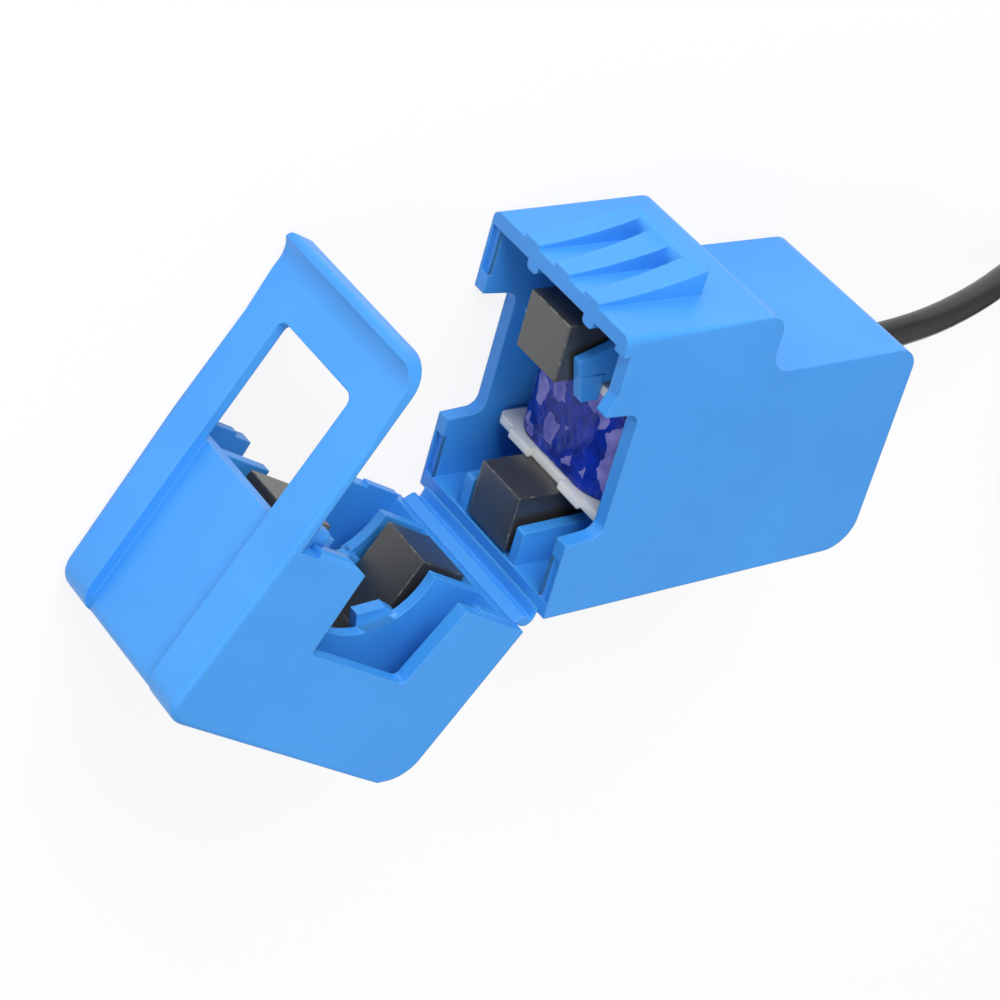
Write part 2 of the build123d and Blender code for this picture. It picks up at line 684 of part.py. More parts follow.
with BuildPart() as core_pad:
    pad_front = LID_CORE_LENGTH + PAD_CLEARANCE
    pad_back = LID_LENGTH - WALL - PAD_CLEARANCE
    with BuildSketch(front(LID, -pad_back)):
        with Locations(((LOW_LEG_Y + HIGH_LEG_Y) / 2, MID_Z)):
            RectangleRounded(HIGH_LEG_Y - LOW_LEG_Y, CORE_THICKNESS - 2 * PAD_MARGIN, PAD_RADIUS)
    extrude(amount=pad_back - pad_front)

# Coil former on the yoke, axis along Y
with BuildPart() as bobbin:
    flange_levels = (BOBBIN_LOW_Y, BOBBIN_HIGH_Y - BOBBIN_FLANGE_THICKNESS)
    for y in flange_levels:
        with BuildSketch(section(BODY, y + BOBBIN_FLANGE_THICKNESS)):
            with Locations((YOKE_X, MID_Z)):
                RectangleRounded(BOBBIN_FLANGE, BOBBIN_FLANGE + 2 * BOBBIN_SIDE_EXTRA, BOBBIN_RADIUS)
            with Locations((YOKE_X - BOBBIN_FLANGE / 2, MID_Z)):
                with GridLocations(0, BOBBIN_FLANGE / 2, 1, 2):
                    Rectangle(2 * BOBBIN_TAB, BOBBIN_TAB_WIDTH)
        extrude(amount=BOBBIN_FLANGE_THICKNESS)
    with BuildSketch(section(BODY, BOBBIN_HIGH_Y)):
        with Locations((YOKE_X, MID_Z)):
            RectangleRounded(
                CORE_LEG + 2 * BOBBIN_CLEARANCE + 2 * BOBBIN_TUBE_WALL,
                CORE_THICKNESS + 2 * BOBBIN_CLEARANCE + 2 * BOBBIN_TUBE_WALL,
                BOBBIN_RADIUS,
            )
    extrude(amount=BOBBIN_HIGH_Y - BOBBIN_LOW_Y)
    with BuildSketch(section(BODY, BOBBIN_HIGH_Y)):
        with Locations((YOKE_X, MID_Z)):
            Rectangle(CORE_LEG + 2 * BOBBIN_CLEARANCE, CORE_THICKNESS + 2 * BOBBIN_CLEARANCE)
    extrude(amount=BOBBIN_HIGH_Y - BOBBIN_LOW_Y, mode=Mode.SUBTRACT)
    # Rail that holds the two pins, at the cable end of the low flange
    rail_back_x = YOKE_X + BOBBIN_FLANGE / 2
    with BuildSketch(front(BODY, rail_back_x)):
        with Locations((BOBBIN_LOW_Y + TERMINAL_RAIL_HEIGHT / 2, MID_Z)):
            Rectangle(TERMINAL_RAIL_HEIGHT, PIN_SPACING + 4 * PIN_SIZE)
    extrude(amount=TERMINAL_RAIL_LENGTH)
    pin_y = BOBBIN_LOW_Y + TERMINAL_RAIL_HEIGHT / 2
    with BuildSketch(front(BODY, rail_back_x)):
        with Locations((pin_y, MID_Z - PIN_SPACING / 2), (pin_y, MID_Z + PIN_SPACING / 2)):
            Rectangle(PIN_SIZE, PIN_SIZE)
    extrude(amount=TERMINAL_RAIL_LENGTH, mode=Mode.SUBTRACT)


def terminal_pin(z):
    """Square pin seated through the bobbin's rail."""
    with BuildPart() as pin:
        with BuildSketch(front(BODY, rail_back_x)):
            with Locations((pin_y, z)):
                Rectangle(PIN_SIZE, PIN_SIZE)
        extrude(amount=PIN_LENGTH)
        chamfer(pin.faces().sort_by(Axis.X)[-1].edges(), PIN_SIZE / 5)
    return pin


terminal_pin_a = terminal_pin(MID_Z - PIN_SPACING / 2)
terminal_pin_b = terminal_pin(MID_Z + PIN_SPACING / 2)

winding_low_y = BOBBIN_LOW_Y + BOBBIN_FLANGE_THICKNESS + WINDING_CLEARANCE
winding_high_y = BOBBIN_HIGH_Y - BOBBIN_FLANGE_THICKNESS - WINDING_CLEARANCE
tape_size = BOBBIN_FLANGE - 2 * WINDING_MARGIN


def coil_layer(outer, radius, inner_x, inner_z, inner_radius):
    """Rounded square sleeve round the bobbin's tube."""
    with BuildPart() as layer:
        with BuildSketch(section(BODY, winding_high_y)):
            with Locations((YOKE_X, MID_Z)):
                RectangleRounded(outer, outer, radius)
                RectangleRounded(inner_x, inner_z, inner_radius, mode=Mode.SUBTRACT)
        extrude(amount=winding_high_y - winding_low_y)
    return layer


tube_play = 2 * (BOBBIN_CLEARANCE + BOBBIN_TUBE_WALL + WINDING_CLEARANCE)
winding_size = tape_size - 2 * (TAPE_THICKNESS + WINDING_CLEARANCE)
winding = coil_layer(winding_size, TAPE_RADIUS - TAPE_THICKNESS, CORE_LEG + tube_play,
                     CORE_THICKNESS + tube_play, BOBBIN_RADIUS)
winding_tape = coil_layer(tape_size, TAPE_RADIUS, tape_size - 2 * TAPE_THICKNESS,
                          tape_size - 2 * TAPE_THICKNESS, TAPE_RADIUS - TAPE_THICKNESS)

# Clamp diode under the pins, its leads bent up to them
diode_x = rail_back_x + DIODE_SETBACK
diode_y = pin_y - DIODE_DROP
with BuildPart() as suppressor:
    with BuildSketch(Plane.XY.offset(MID_Z - DIODE_LENGTH / 2)):
        with Locations((diode_x, diode_y)):
            Circle(DIODE_RADIUS)
    extrude(amount=DIODE_LENGTH)
    chamfer(suppressor.faces().filter_by(Plane.XY).edges(), DIODE_CHAMFER)


def diode_lead(side):
    """Lead from one end of the diode to the pin above it."""
    start = MID_Z + side * DIODE_LENGTH / 2
    turn = MID_Z + side * PIN_SPACING / 2
    with BuildPart() as lead:
        with BuildLine():
            FilletPolyline(
                (diode_x, diode_y, start),
                (diode_x, diode_y, turn),
                (diode_x, pin_y - PIN_SIZE / 2, turn),
                radius=LEAD_BEND,
            )
        with BuildSketch(Plane(origin=(diode_x, diode_y, start), z_dir=(0, 0, side))):
            RegularPolygon(LEAD_RADIUS, WIRE_SIDES)
        sweep()
    return lead.part


suppressor_leads = Compound([diode_lead(-1), diode_lead(1)])

# Cable: its route from inside the end wall down to the floor and round to the coil
floor_z = CABLE_RADIUS + FLOOR_CLEARANCE
route = [
    (BODY_LENGTH - CABLE_INSIDE, CABLE_EXIT_Y, CABLE_EXIT_Z + CABLE_TILT[0]),
    (BODY_LENGTH + CABLE_STRAIGHT, CABLE_EXIT_Y, CABLE_EXIT_Z + CABLE_TILT[1]),
    (59.0, 2.0, 7.3),
    (71.0, 2.6, 2.0),
    (84.0, 2.4, floor_z),
    (97.0, 2.0, floor_z),
]
# The tail leaves the coil along +X, in line with the cable, and rises to the plug's axis
tail_route = [
    (COIL_CENTRE[0] + along, COIL_CENTRE[1] + COIL_RADIUS + aside, height)
    for aside, along, height in (
        (0, -2.0, floor_z),
        (0.3, 7.0, floor_z + 0.2),
        (0.2, 15.0, PLUG_BODY_RADIUS),
        (0.2, 22.0, PLUG_BODY_RADIUS),
    )
]


def corner_radii(points):
    """Arc at each corner, as large as its two runs allow."""
    spots = [Vector(*point) for point in points]
    radii = []
    for before, here, after in zip(spots, spots[1:], spots[2:]):
        first, second = here - before, after - here
        half_turn = math.radians(first.get_angle(second)) / 2
        radii.append(0.45 * min(first.length, second.length) / math.tan(half_turn))
    return radii


def tube(points, name):
    """Plain round cable along straight runs and tangent arcs."""
    radii = corner_radii(points)
    print(name, "arc radii", [round(radius, 1) for radius in radii])
    with BuildPart() as pipe:
        with BuildLine() as path:
            FilletPolyline(*points, radius=radii)
        with BuildSketch(Plane(origin=path.line @ 0, z_dir=path.line % 0)):
            RegularPolygon(CABLE_RADIUS, CABLE_SIDES)
        sweep()
    print(name, "length", round(sum(edge.length for edge in path.edges()), 1))
    return pipe


cable = tube(route, "cable")
cable_tail = tube(tail_route, "cable_tail")

coil_low_z = COIL_TIE_THICKNESS
with BuildPart() as cable_coil:
    with BuildSketch(Plane(origin=(*COIL_CENTRE, 0), x_dir=(1, 0, 0), z_dir=(0, -1, 0))):
        with Locations((COIL_RADIUS, coil_low_z + COIL_SECTION / 2)):
            Rectangle(COIL_SECTION, COIL_SECTION)
    revolve(axis=Axis((*COIL_CENTRE, 0), (0, 0, 1)))

with BuildPart() as coil_tie:
    tie_plane = Plane(origin=(COIL_CENTRE[0], COIL_CENTRE[1] - COIL_RADIUS, coil_low_z + COIL_SECTION / 2),
                      x_dir=(0, 1, 0), z_dir=(1, 0, 0))
    with BuildSketch(tie_plane):
        RectangleRounded(
            COIL_SECTION + 2 * (COIL_TIE_PLAY + COIL_TIE_THICKNESS),
            COIL_SECTION + 2 * COIL_TIE_THICKNESS,
            COIL_TIE_PLAY + COIL_TIE_THICKNESS,
        )
        RectangleRounded(
            COIL_SECTION + 2 * COIL_TIE_PLAY,
            COIL_SECTION + COIL_TIE_FIT,
            COIL_TIE_PLAY,
            mode=Mode.SUBTRACT,
        )
    extrude(amount=COIL_TIE_WIDTH / 2, both=True)

with BuildPart() as inner_tie:
    tie_x = BODY_LENGTH - WALL - TIE_WIDTH - TIE_CLEARANCE
    tie_z = CABLE_EXIT_Z + TIE_ABOVE_EXIT
    with BuildSketch(front(BODY, tie_x)):
        with Locations((CABLE_EXIT_Y, tie_z)):
            Circle(CABLE_RADIUS + TIE_THICKNESS)
        with Locations((CABLE_EXIT_Y - CABLE_RADIUS - TIE_HEAD / 2, tie_z)):
            RectangleRounded(TIE_HEAD, TIE_HEAD, TIE_RADIUS)
        with Locations((CABLE_EXIT_Y, tie_z)):
            Circle(CABLE_RADIUS + TIE_CLEARANCE, mode=Mode.SUBTRACT)
    extrude(amount=TIE_WIDTH)


def core_wire(side):
    """Insulated core from the jacket's end to its pin."""
    start = Vector(*route[0])
    pin_z = MID_Z + side * PIN_SPACING / 2
    pin_end = rail_back_x + PIN_LENGTH
    core_z = start.Z + side * CABLE_RADIUS / 2
    with BuildPart() as wire:
        with BuildLine() as path:
            FilletPolyline(
                (start.X - WIRE_END_GAP, start.Y, core_z),
                (start.X - CORE_WIRE_STRIP, start.Y, core_z),
                (pin_end + CORE_WIRE_LOOP, pin_y, pin_z),
                (pin_end + WIRE_END_GAP, pin_y, pin_z),
                radius=CORE_WIRE_BEND,
            )
        with BuildSketch(Plane(origin=path.line @ 0, z_dir=path.line % 0)):
            RegularPolygon(CORE_WIRE_RADIUS, WIRE_SIDES)
        sweep()
    return wire


# Plug, its axis along X from the tail's end
plug_axis = Plane(origin=tail_route[-1], x_dir=(0, 1, 0), z_dir=(1, 0, 0))


def turned(profile_points, start):
    """Solid turned about the plug's axis from (radius, distance) points, from a place along it."""
    side = Plane(origin=plug_axis.origin, x_dir=(0, -1, 0), z_dir=(0, 0, 1))
    with BuildPart() as piece:
        with BuildSketch(side):
            with BuildLine():
                Polyline(*[(radius, start + along) for radius, along in profile_points], close=True)
            make_face()
        revolve(axis=Axis(plug_axis.origin, plug_axis.z_dir))
    return piece


plug_housing = turned([
    (0, 0), (CABLE_RADIUS + PLUG_CHAMFER, 0), (PLUG_NECK_RADIUS, PLUG_NECK_LENGTH),
    (PLUG_BODY_RADIUS - PLUG_CHAMFER, PLUG_NECK_LENGTH),
    (PLUG_BODY_RADIUS, PLUG_NECK_LENGTH + 2 * PLUG_CHAMFER),
    (PLUG_BODY_RADIUS, PLUG_NECK_LENGTH + PLUG_BODY_LENGTH - PLUG_CHAMFER),
    (PLUG_BODY_RADIUS - PLUG_CHAMFER, PLUG_NECK_LENGTH + PLUG_BODY_LENGTH),
    (0, PLUG_NECK_LENGTH + PLUG_BODY_LENGTH),
], 0)
shaft_start = PLUG_NECK_LENGTH + PLUG_BODY_LENGTH


def shaft_band(start, length, radius=PLUG_SHAFT_RADIUS):
    """One band of the plug's shaft."""
    return turned([(0, 0), (radius, 0), (radius, length), (0, length)], start)


plug_sleeve = shaft_band(shaft_start, PLUG_SLEEVE_LENGTH)
insulator_a_start = shaft_start + PLUG_SLEEVE_LENGTH
plug_insulator_a = shaft_band(insulator_a_start, PLUG_INSULATOR_LENGTH)
ring_start = insulator_a_start + PLUG_INSULATOR_LENGTH
plug_ring = shaft_band(ring_start, PLUG_RING_LENGTH)
insulator_b_start = ring_start + PLUG_RING_LENGTH
plug_insulator_b = shaft_band(insulator_b_start, PLUG_INSULATOR_LENGTH)
tip_start = insulator_b_start + PLUG_INSULATOR_LENGTH
plug_tip = turned([
    (0, 0), (PLUG_SHAFT_RADIUS, 0), (PLUG_TIP_WAIST, PLUG_TIP_NOTCH[0]), (PLUG_TIP_WAIST, PLUG_TIP_NOTCH[1]),
    (PLUG_SHAFT_RADIUS - PLUG_TIP_TAPER, PLUG_TIP_SHOULDER[0]),
    (PLUG_SHAFT_RADIUS - 2 * PLUG_TIP_TAPER, PLUG_TIP_SHOULDER[1]),
    (PLUG_TIP_END_RADIUS, PLUG_TIP_LENGTH), (0, PLUG_TIP_LENGTH),
], tip_start)

pieces = {
    "case_body": case_body.part,
    "case_lid": case_lid.part,
    "hinge_web": hinge_web.part,
    "fixed_core": fixed_core,
    "lid_core": lid_core,
    "core_pad": core_pad.part,
    "bobbin": bobbin.part,
    "winding": winding.part,
    "winding_tape": winding_tape.part,
    "terminal_pin_a": terminal_pin_a.part,
    "terminal_pin_b": terminal_pin_b.part,
    "suppressor": suppressor.part,
    "suppressor_leads": suppressor_leads,
    "core_wire_a": core_wire(-1).part,
    "core_wire_b": core_wire(1).part,
    "inner_tie": inner_tie.part,
    "cable": cable.part,
    "cable_coil": cable_coil.part,
    "cable_tail": cable_tail.part,
    "coil_tie": coil_tie.part,
    "plug_housing": plug_housing.part,
    "plug_sleeve": plug_sleeve.part,
    "plug_insulator_a": plug_insulator_a.part,
    "plug_ring": plug_ring.part,
    "plug_insulator_b": plug_insulator_b.part,
    "plug_tip": plug_tip.part,
}
os.makedirs("parts", exist_ok=True)
for name, piece in pieces.items():
    piece.label = name
    export_step(piece, f"parts/{name}.step")
    print(f"{name}: {len(piece.solids())} solids, {piece.volume:.1f} mm3")
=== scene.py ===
# %% [markdown]
# # A split-core current transformer, clipped open
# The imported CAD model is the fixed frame: two moulded halves on a film hinge, two ferrite cores, a
# coil former with a taped winding, and a cable. This lesson dresses it. Every length is in metres.

# %% Load the frame
import json

import bmesh
import bpy
import numpy as np
from mathutils import Matrix, Vector

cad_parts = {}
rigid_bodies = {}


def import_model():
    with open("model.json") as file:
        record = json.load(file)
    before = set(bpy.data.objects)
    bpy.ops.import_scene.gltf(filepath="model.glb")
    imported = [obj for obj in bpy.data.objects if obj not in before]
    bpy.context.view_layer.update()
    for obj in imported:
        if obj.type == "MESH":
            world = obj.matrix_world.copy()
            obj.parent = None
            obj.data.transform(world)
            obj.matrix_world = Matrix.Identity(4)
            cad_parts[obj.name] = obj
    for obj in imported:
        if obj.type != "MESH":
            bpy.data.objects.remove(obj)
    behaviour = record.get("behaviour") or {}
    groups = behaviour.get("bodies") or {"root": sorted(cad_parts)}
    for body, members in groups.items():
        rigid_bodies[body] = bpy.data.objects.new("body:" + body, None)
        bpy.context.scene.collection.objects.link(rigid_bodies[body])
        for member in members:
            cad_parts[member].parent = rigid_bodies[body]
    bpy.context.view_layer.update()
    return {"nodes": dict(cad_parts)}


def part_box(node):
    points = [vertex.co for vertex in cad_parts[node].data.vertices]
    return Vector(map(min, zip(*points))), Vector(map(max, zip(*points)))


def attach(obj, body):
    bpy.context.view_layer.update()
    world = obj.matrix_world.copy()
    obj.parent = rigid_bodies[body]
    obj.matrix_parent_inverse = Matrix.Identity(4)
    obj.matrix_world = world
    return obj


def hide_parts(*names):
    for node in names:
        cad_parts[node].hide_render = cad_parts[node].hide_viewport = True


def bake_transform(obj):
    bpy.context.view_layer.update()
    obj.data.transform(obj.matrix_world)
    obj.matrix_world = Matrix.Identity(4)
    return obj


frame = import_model()
nodes = frame["nodes"]
MM = 0.001

# %% [markdown]
# ## The camera
# The photograph was taken with a long lens from the latch side, above the near face, and the
# picture is rolled over by a good third of a turn. A look direction and an up direction say that
# more plainly than three angles would, so the camera's axes are built from those two.

# %% Camera
CAMERA_PLACE = Vector((-176.74, 161.47, 206.07)) * MM
LOOK = Vector((0.56412, -0.54484, -0.62042)).normalized()
UP = Vector((0.14351, 0.80465, -0.57614)).normalized()
LENS = 121.19


def add_camera():
    """A perspective camera whose own axes are right, up and backwards."""
    data = bpy.data.cameras.new("camera")
    data.lens, data.sensor_width, data.sensor_fit = LENS, 36.0, "HORIZONTAL"
    data.clip_start, data.clip_end = 0.01, 20.0
    camera = bpy.data.objects.new("camera", data)
    bpy.context.scene.collection.objects.link(camera)
    right = LOOK.cross(UP).normalized()
    above = right.cross(LOOK)
    axes = Matrix((right, above, -LOOK)).transposed().to_4x4()
    camera.matrix_world = Matrix.Translation(CAMERA_PLACE) @ axes
    bpy.context.scene.camera = camera


add_camera()
print("camera is", round((CAMERA_PLACE - Vector((0, 0, 0.011))).length * 1000), "mm from the part")

# %% [markdown]
# ## Shader maths as Python
# A node tree is a sum written with wires. One small class lets it be written as a sum again:
# it wraps a socket, and each operator adds the Math node that stands for it.


# %% The material helper
class Value:
    """A socket that understands plus, minus and times."""

    def __init__(self, tree, socket):
        self.tree, self.socket = tree, socket

    def maths(self, operation, first, second=0.0):
        """One Math node."""
        return self.tree.node("ShaderNodeMath", {"operation": operation}, {0: first, 1: second})

    def __add__(self, other):
        return self.maths("ADD", self, other)

    def __sub__(self, other):
        return self.maths("SUBTRACT", self, other)

    def __rsub__(self, other):
        return self.maths("SUBTRACT", other, self)

    def __mul__(self, other):
        return self.maths("MULTIPLY", self, other)

    def clamped(self):
        """Held between 0 and 1."""
        return self.tree.node("ShaderNodeClamp", {}, {0: self})

    __radd__ = __add__
    __rmul__ = __mul__


class Finish:
    """A material under construction, with one method that adds any node."""

    def __init__(self, name):
        self.material = bpy.data.materials.new(name)
        self.material.use_nodes = True
        self.nodes = self.material.node_tree.nodes
        self.links = self.material.node_tree.links
        self.shader = self.nodes["Principled BSDF"]

    def node(self, kind, settings=None, inputs=None, output=0):
        """Add a node: its settings first, then the values or links of its sockets."""
        made = self.nodes.new(kind)
        for key, setting in (settings or {}).items():
            if key == "stops":
                self.stops(made, setting)
            else:
                setattr(made, key, setting)
        for key, entry in (inputs or {}).items():
            self.plug(made.inputs[key], entry)
        return Value(self, made.outputs[output])

    def stops(self, ramp, places):
        """The stops of a colour ramp as (place, grey or colour)."""
        elements = ramp.color_ramp.elements
        while len(elements) < len(places):
            elements.new(0.5)
        for element, (place, tone) in zip(elements, places):
            element.position = place
            element.color = (tone, tone, tone, 1) if isinstance(tone, (int, float)) else (*tone, 1)

    def plug(self, socket, entry):
        """A value goes on the socket, and a link goes into it."""
        if isinstance(entry, Value):
            self.links.new(entry.socket, socket)
        elif isinstance(entry, tuple) and len(entry) == 3 and len(socket.default_value) == 4:
            socket.default_value = (*entry, 1)
        else:
            socket.default_value = entry

    def set(self, **sockets):
        """Sockets of the main shader, with underscores for spaces."""
        for key, entry in sockets.items():
            self.plug(self.shader.inputs[key.replace("_", " ")], entry)
        return self.material

    def place(self, scale=(1, 1, 1)):
        """Object coordinates, stretched by a scale."""
        coordinates = self.node("ShaderNodeTexCoord", output=3)
        return self.node("ShaderNodeMapping", {}, {0: coordinates, 3: scale})

    def noise(self, scale, detail=2.0, roughness=0.5, stretch=(1, 1, 1), twist=0.0):
        """Soft noise from 0 to 1, its scale in lumps per metre."""
        return self.node("ShaderNodeTexNoise", {},
                         {"Vector": self.place(stretch), "Scale": scale, "Detail": detail,
                          "Roughness": roughness, "Distortion": twist})

    def cells(self, scale, stretch=(1, 1, 1), wobble=0.0):
        """One number from 0 to 1 for each cell of a Voronoi pattern with wobbling walls."""
        noise = self.node("ShaderNodeTexNoise", {},
                          {"Vector": self.place(), "Scale": scale, "Detail": 2.0}, 1)
        sway = self.node("ShaderNodeVectorMath", {"operation": "SCALE"},
                         {0: noise, "Scale": wobble})
        spot = self.node("ShaderNodeVectorMath", {"operation": "ADD"},
                         {0: self.place(stretch), 1: sway})
        cell = self.node("ShaderNodeTexVoronoi", {}, {"Vector": spot, "Scale": scale}, 1)
        return self.node("ShaderNodeSeparateColor", {}, {0: cell})

    def away(self, place):
        """Distance from a place, in metres."""
        coordinates = self.node("ShaderNodeTexCoord", output=3)
        return self.node("ShaderNodeVectorMath", {"operation": "DISTANCE"},
                         {0: coordinates, 1: place}, 1)

    def ramp(self, factor, *places):
        """Factor through a colour ramp."""
        return self.node("ShaderNodeValToRGB", {"stops": places}, {0: factor})

    def blend(self, factor, first, second):
        """Mix of two colours."""
        mixed = self.node("ShaderNodeMix", {"data_type": "RGBA"}, {0: factor, 6: first, 7: second})
        return Value(self, mixed.socket.node.outputs[2])

    def bump(self, height, distance, strength=1.0, under=None):
        """Normal from a height, on top of another normal where one is given."""
        inputs = {"Height": height, "Distance": distance, "Strength": strength}
        if under is not None:
            inputs["Normal"] = under
        return self.node("ShaderNodeBump", {}, inputs)

    def rounded(self, radius):
        """Normal that rolls over sharp edges, as a small radius does."""
        return self.node("ShaderNodeBevel", {"samples": 6}, {"Radius": radius})

    def edges(self, rolled):
        """1 where the rolled normal leaves the flat one, which is along edges."""
        flat = self.node("ShaderNodeNewGeometry", output=1)
        facing = self.node("ShaderNodeVectorMath", {"operation": "DOT_PRODUCT"},
                           {0: rolled, 1: flat}, 1)
        return self.ramp(1 - facing, (0.01, 0.0), (0.12, 1.0))


def colour(red, green, blue):
    """Screen colour 0 to 255 as the linear light that a shader wants."""
    return tuple((c / 12.92 if c <= 0.04045 else ((c + 0.055) / 1.055) ** 2.4)
                 for c in (red / 255, green / 255, blue / 255))


# %% [markdown]
# ## The blue moulding
# The case is satin polypropylene: even colour, a soft sheen, and a skin that is very slightly
# uneven. Every edge of a moulding has a small radius. It could be bevelled into the mesh, but where
# no outline shows it, a normal that rolls over the edge looks the same and costs no faces.

# %% Case plastic


def case_plastic():
    """Satin blue with a faint grain, slow clouds of tone and rounded edges, lighter along them:
    partly wear, partly a painted highlight.
    """
    finish = Finish("case_plastic")
    broad = finish.noise(70, 3, 0.55)
    fine = finish.noise(2400, 2)
    rolled = finish.rounded(0.2 * MM)
    clouds = finish.ramp(broad, (0.3, 0.0), (0.7, 1.0))
    tone = finish.blend(clouds, colour(54, 142, 222), colour(62, 150, 230))
    # Edges lightened in colour: partly wear, partly a painted highlight along them.
    tone = finish.blend(finish.edges(rolled) * 0.35, tone, colour(96, 174, 240))
    return finish.set(Base_Color=tone, Roughness=broad * 0.14 + 0.36,
                      Normal=finish.bump(fine, 0.00003, 0.3, rolled))


PLASTIC = case_plastic()


def dress(material, *names):
    """Give CAD nodes a finish."""
    for name in names:
        nodes[name].data.materials.clear()
        nodes[name].data.materials.append(material)
    print(material.name, "on", ", ".join(names))


dress(PLASTIC, "case_body", "case_lid", "hinge_web")

# %% [markdown]
# ## Rounded edges that the outline shows
# Some edges of the two halves are rounder than the rest, and the outline shows it: the long edges
# along the latch side, and the heel where the latch flap leaves the lid. A rolled normal can't
# change an outline, so these are real shape. A bevel keeps one width along an edge, but these
# radii fall to nothing along theirs, and two of them meet in the heel. So a copy of the half is
# merged and cut by a fan of planes about the arc's centre line, and the corner is pulled in to the
# arc.

# %% Corner rounding
HALF_WIDTH, MID_Z = 15.5, 11.0
SIDE_DRAFT, LATCH_DRAFT = 0.023, 0.012
FAN = 8
JOIN_DISTANCE, FLAT_ANGLE = 1e-6, 0.004
CUT_DISTANCE = 1e-7
SHARP_ANGLE = 0.22
SLACK = 0.01
HAIR, SPECK = 1e-6, 1e-9


def edit_mesh(mesh):
    """The mesh opened for editing."""
    shell = bmesh.new()
    shell.from_mesh(mesh)
    return shell


def merged_copy(node):
    """The node's mesh with its loose triangles joined and its flat faces whole."""
    shell = edit_mesh(nodes[node].data)
    bmesh.ops.remove_doubles(shell, verts=shell.verts, dist=JOIN_DISTANCE)
    bmesh.ops.dissolve_limit(shell, angle_limit=FLAT_ANGLE, verts=shell.verts, edges=shell.edges)
    return shell


def cut(shell, faces, place, normal):
    """Cut some faces, with their edges and points, by a plane. The place is in metres, and a
    dictionary's keys keep the same order each run, which a set's don't."""
    edges = dict.fromkeys(e for f in faces for e in f.edges)
    verts = dict.fromkeys(v for f in faces for v in f.verts)
    bmesh.ops.bisect_plane(shell, geom=[*verts, *edges, *faces], dist=CUT_DISTANCE,
                           plane_co=place, plane_no=normal)


def cut_fan(shell, corner, outward, upward, radius):
    """Cut the corner's square by the two planes that bound it and by a fan between them. Corner,
    radius and directions are in millimetres; outward and upward look out of the two faces."""
    corner, outward, upward = (Vector(v) for v in (corner, outward, upward))
    outward, upward = outward.normalized(), upward.normalized()
    centre = (corner - (outward + upward) * radius) * MM

    def in_corner(face):
        middle = face.calc_center_median() - centre
        return middle.dot(outward) > 0 and middle.dot(upward) > 0

    for k in (0, FAN, *range(1, FAN)):
        turn = np.radians(90.0) * k / FAN
        normal = outward * float(np.cos(turn)) - upward * float(np.sin(turn))
        faces = [face for face in shell.faces if k in (0, FAN) or in_corner(face)]
        cut(shell, faces, centre, normal)


def pull_in(out, up, radius):
    """Square to quarter disc: with both distances counted from the arc's centre, a point keeps
    its direction and is scaled by the greater distance over the whole, so that flat faces land on
    the arc."""
    inside = (out > 0) & (up > 0) & (out < radius + SLACK) & (up < radius + SLACK)
    scale = np.where(inside, np.maximum(out, up) / np.maximum(np.hypot(out, up), SPECK), 1.0)
    return scale, inside


def faded(value, start, end):
    """1 before start, 0 after end, a straight fall between, so a straight edge stays straight."""
    return np.clip((end - value) / (end - start), 0, 1)


def shell_points(mesh):
    """The mesh's points as rows in millimetres."""
    points = np.empty(len(mesh.vertices) * 3, np.float32)
    mesh.vertices.foreach_get("co", points)
    return points.reshape(-1, 3).astype(float) / MM


def put_points(mesh, points):
    """Rows in millimetres become the mesh's points."""
    mesh.vertices.foreach_set("co", (points * MM).astype(np.float32).ravel())


def finished_shell(name, mesh, points, node, body):
    """Put the points back, shade it smooth but for real edges, and let it stand for its node."""
    put_points(mesh, points)
    mesh.materials.append(PLASTIC)
    mesh.polygons.foreach_set("use_smooth", np.ones(len(mesh.polygons), bool))
    mesh.set_sharp_from_angle(angle=SHARP_ANGLE)
    piece = bpy.data.objects.new(name, mesh)
    bpy.context.scene.collection.objects.link(piece)
    even = piece.modifiers.new("even_shading", "WEIGHTED_NORMAL")
    even.weight, even.keep_sharp = 100, True
    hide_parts(node)
    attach(piece, body)
    return piece


def to_mesh(shell, name):
    """Close the edit mesh into a new mesh."""
    mesh = bpy.data.meshes.new(name)
    shell.to_mesh(mesh)
    shell.free()
    return mesh


# %% [markdown]
# ## The body
# Its two long latch edges run from the mouth to the step, and their radius falls evenly to nothing
# at the step, so that the outline stays straight. Both faces lean in a little with X.

# %% Rounded body
BODY_EDGE_RADIUS = 1.0
BODY_FADE = (-2.0, 16.4)
BODY_CUTS = 8


def rounded_body():
    """Merged body with its latch side's two long edges pulled in to an arc."""
    shell = merged_copy("case_body")
    for side in (-1, 1):
        cut_fan(shell, (0, HALF_WIDTH, MID_Z + side * MID_Z), (LATCH_DRAFT, 1, 0),
                (SIDE_DRAFT, 0, side), BODY_EDGE_RADIUS)
    for x in np.linspace(*BODY_FADE, BODY_CUTS):
        cut(shell, shell.faces, (x * MM, 0, 0), (1, 0, 0))
    mesh = to_mesh(shell, "body_shell")
    points = shell_points(mesh)
    radius = BODY_EDGE_RADIUS * faded(points[:, 0], *BODY_FADE) + HAIR
    latch = HALF_WIDTH - LATCH_DRAFT * points[:, 0] - radius
    moved = 0
    for side in (-1, 1):
        flat = MID_Z - SIDE_DRAFT * points[:, 0] - radius
        out, up = points[:, 1] - latch, side * (points[:, 2] - MID_Z) - flat
        scale, inside = pull_in(out, up, radius)
        points[:, 1] = latch + out * scale
        points[:, 2] = MID_Z + side * (flat + up * scale)
        moved += int(inside.sum())
    print("body:", len(mesh.polygons), "faces,", moved, "points pulled in")
    return finished_shell("body_shell", mesh, points, "case_body", "body")


rounded_body()

# %% [markdown]
# ## The lid
# The lid was drawn closed and stands open, so its points are first turned back to the closed
# place. There the heel's edge runs along Z, with the largest radius of the part, and the flap's two
# long edges run along X until the thumb lip, and round the heel down the end face. Between the
# flap's rails the panel is lower, so it rolls over the heel with a smaller radius of its own, and
# both meet the end face at the same height.

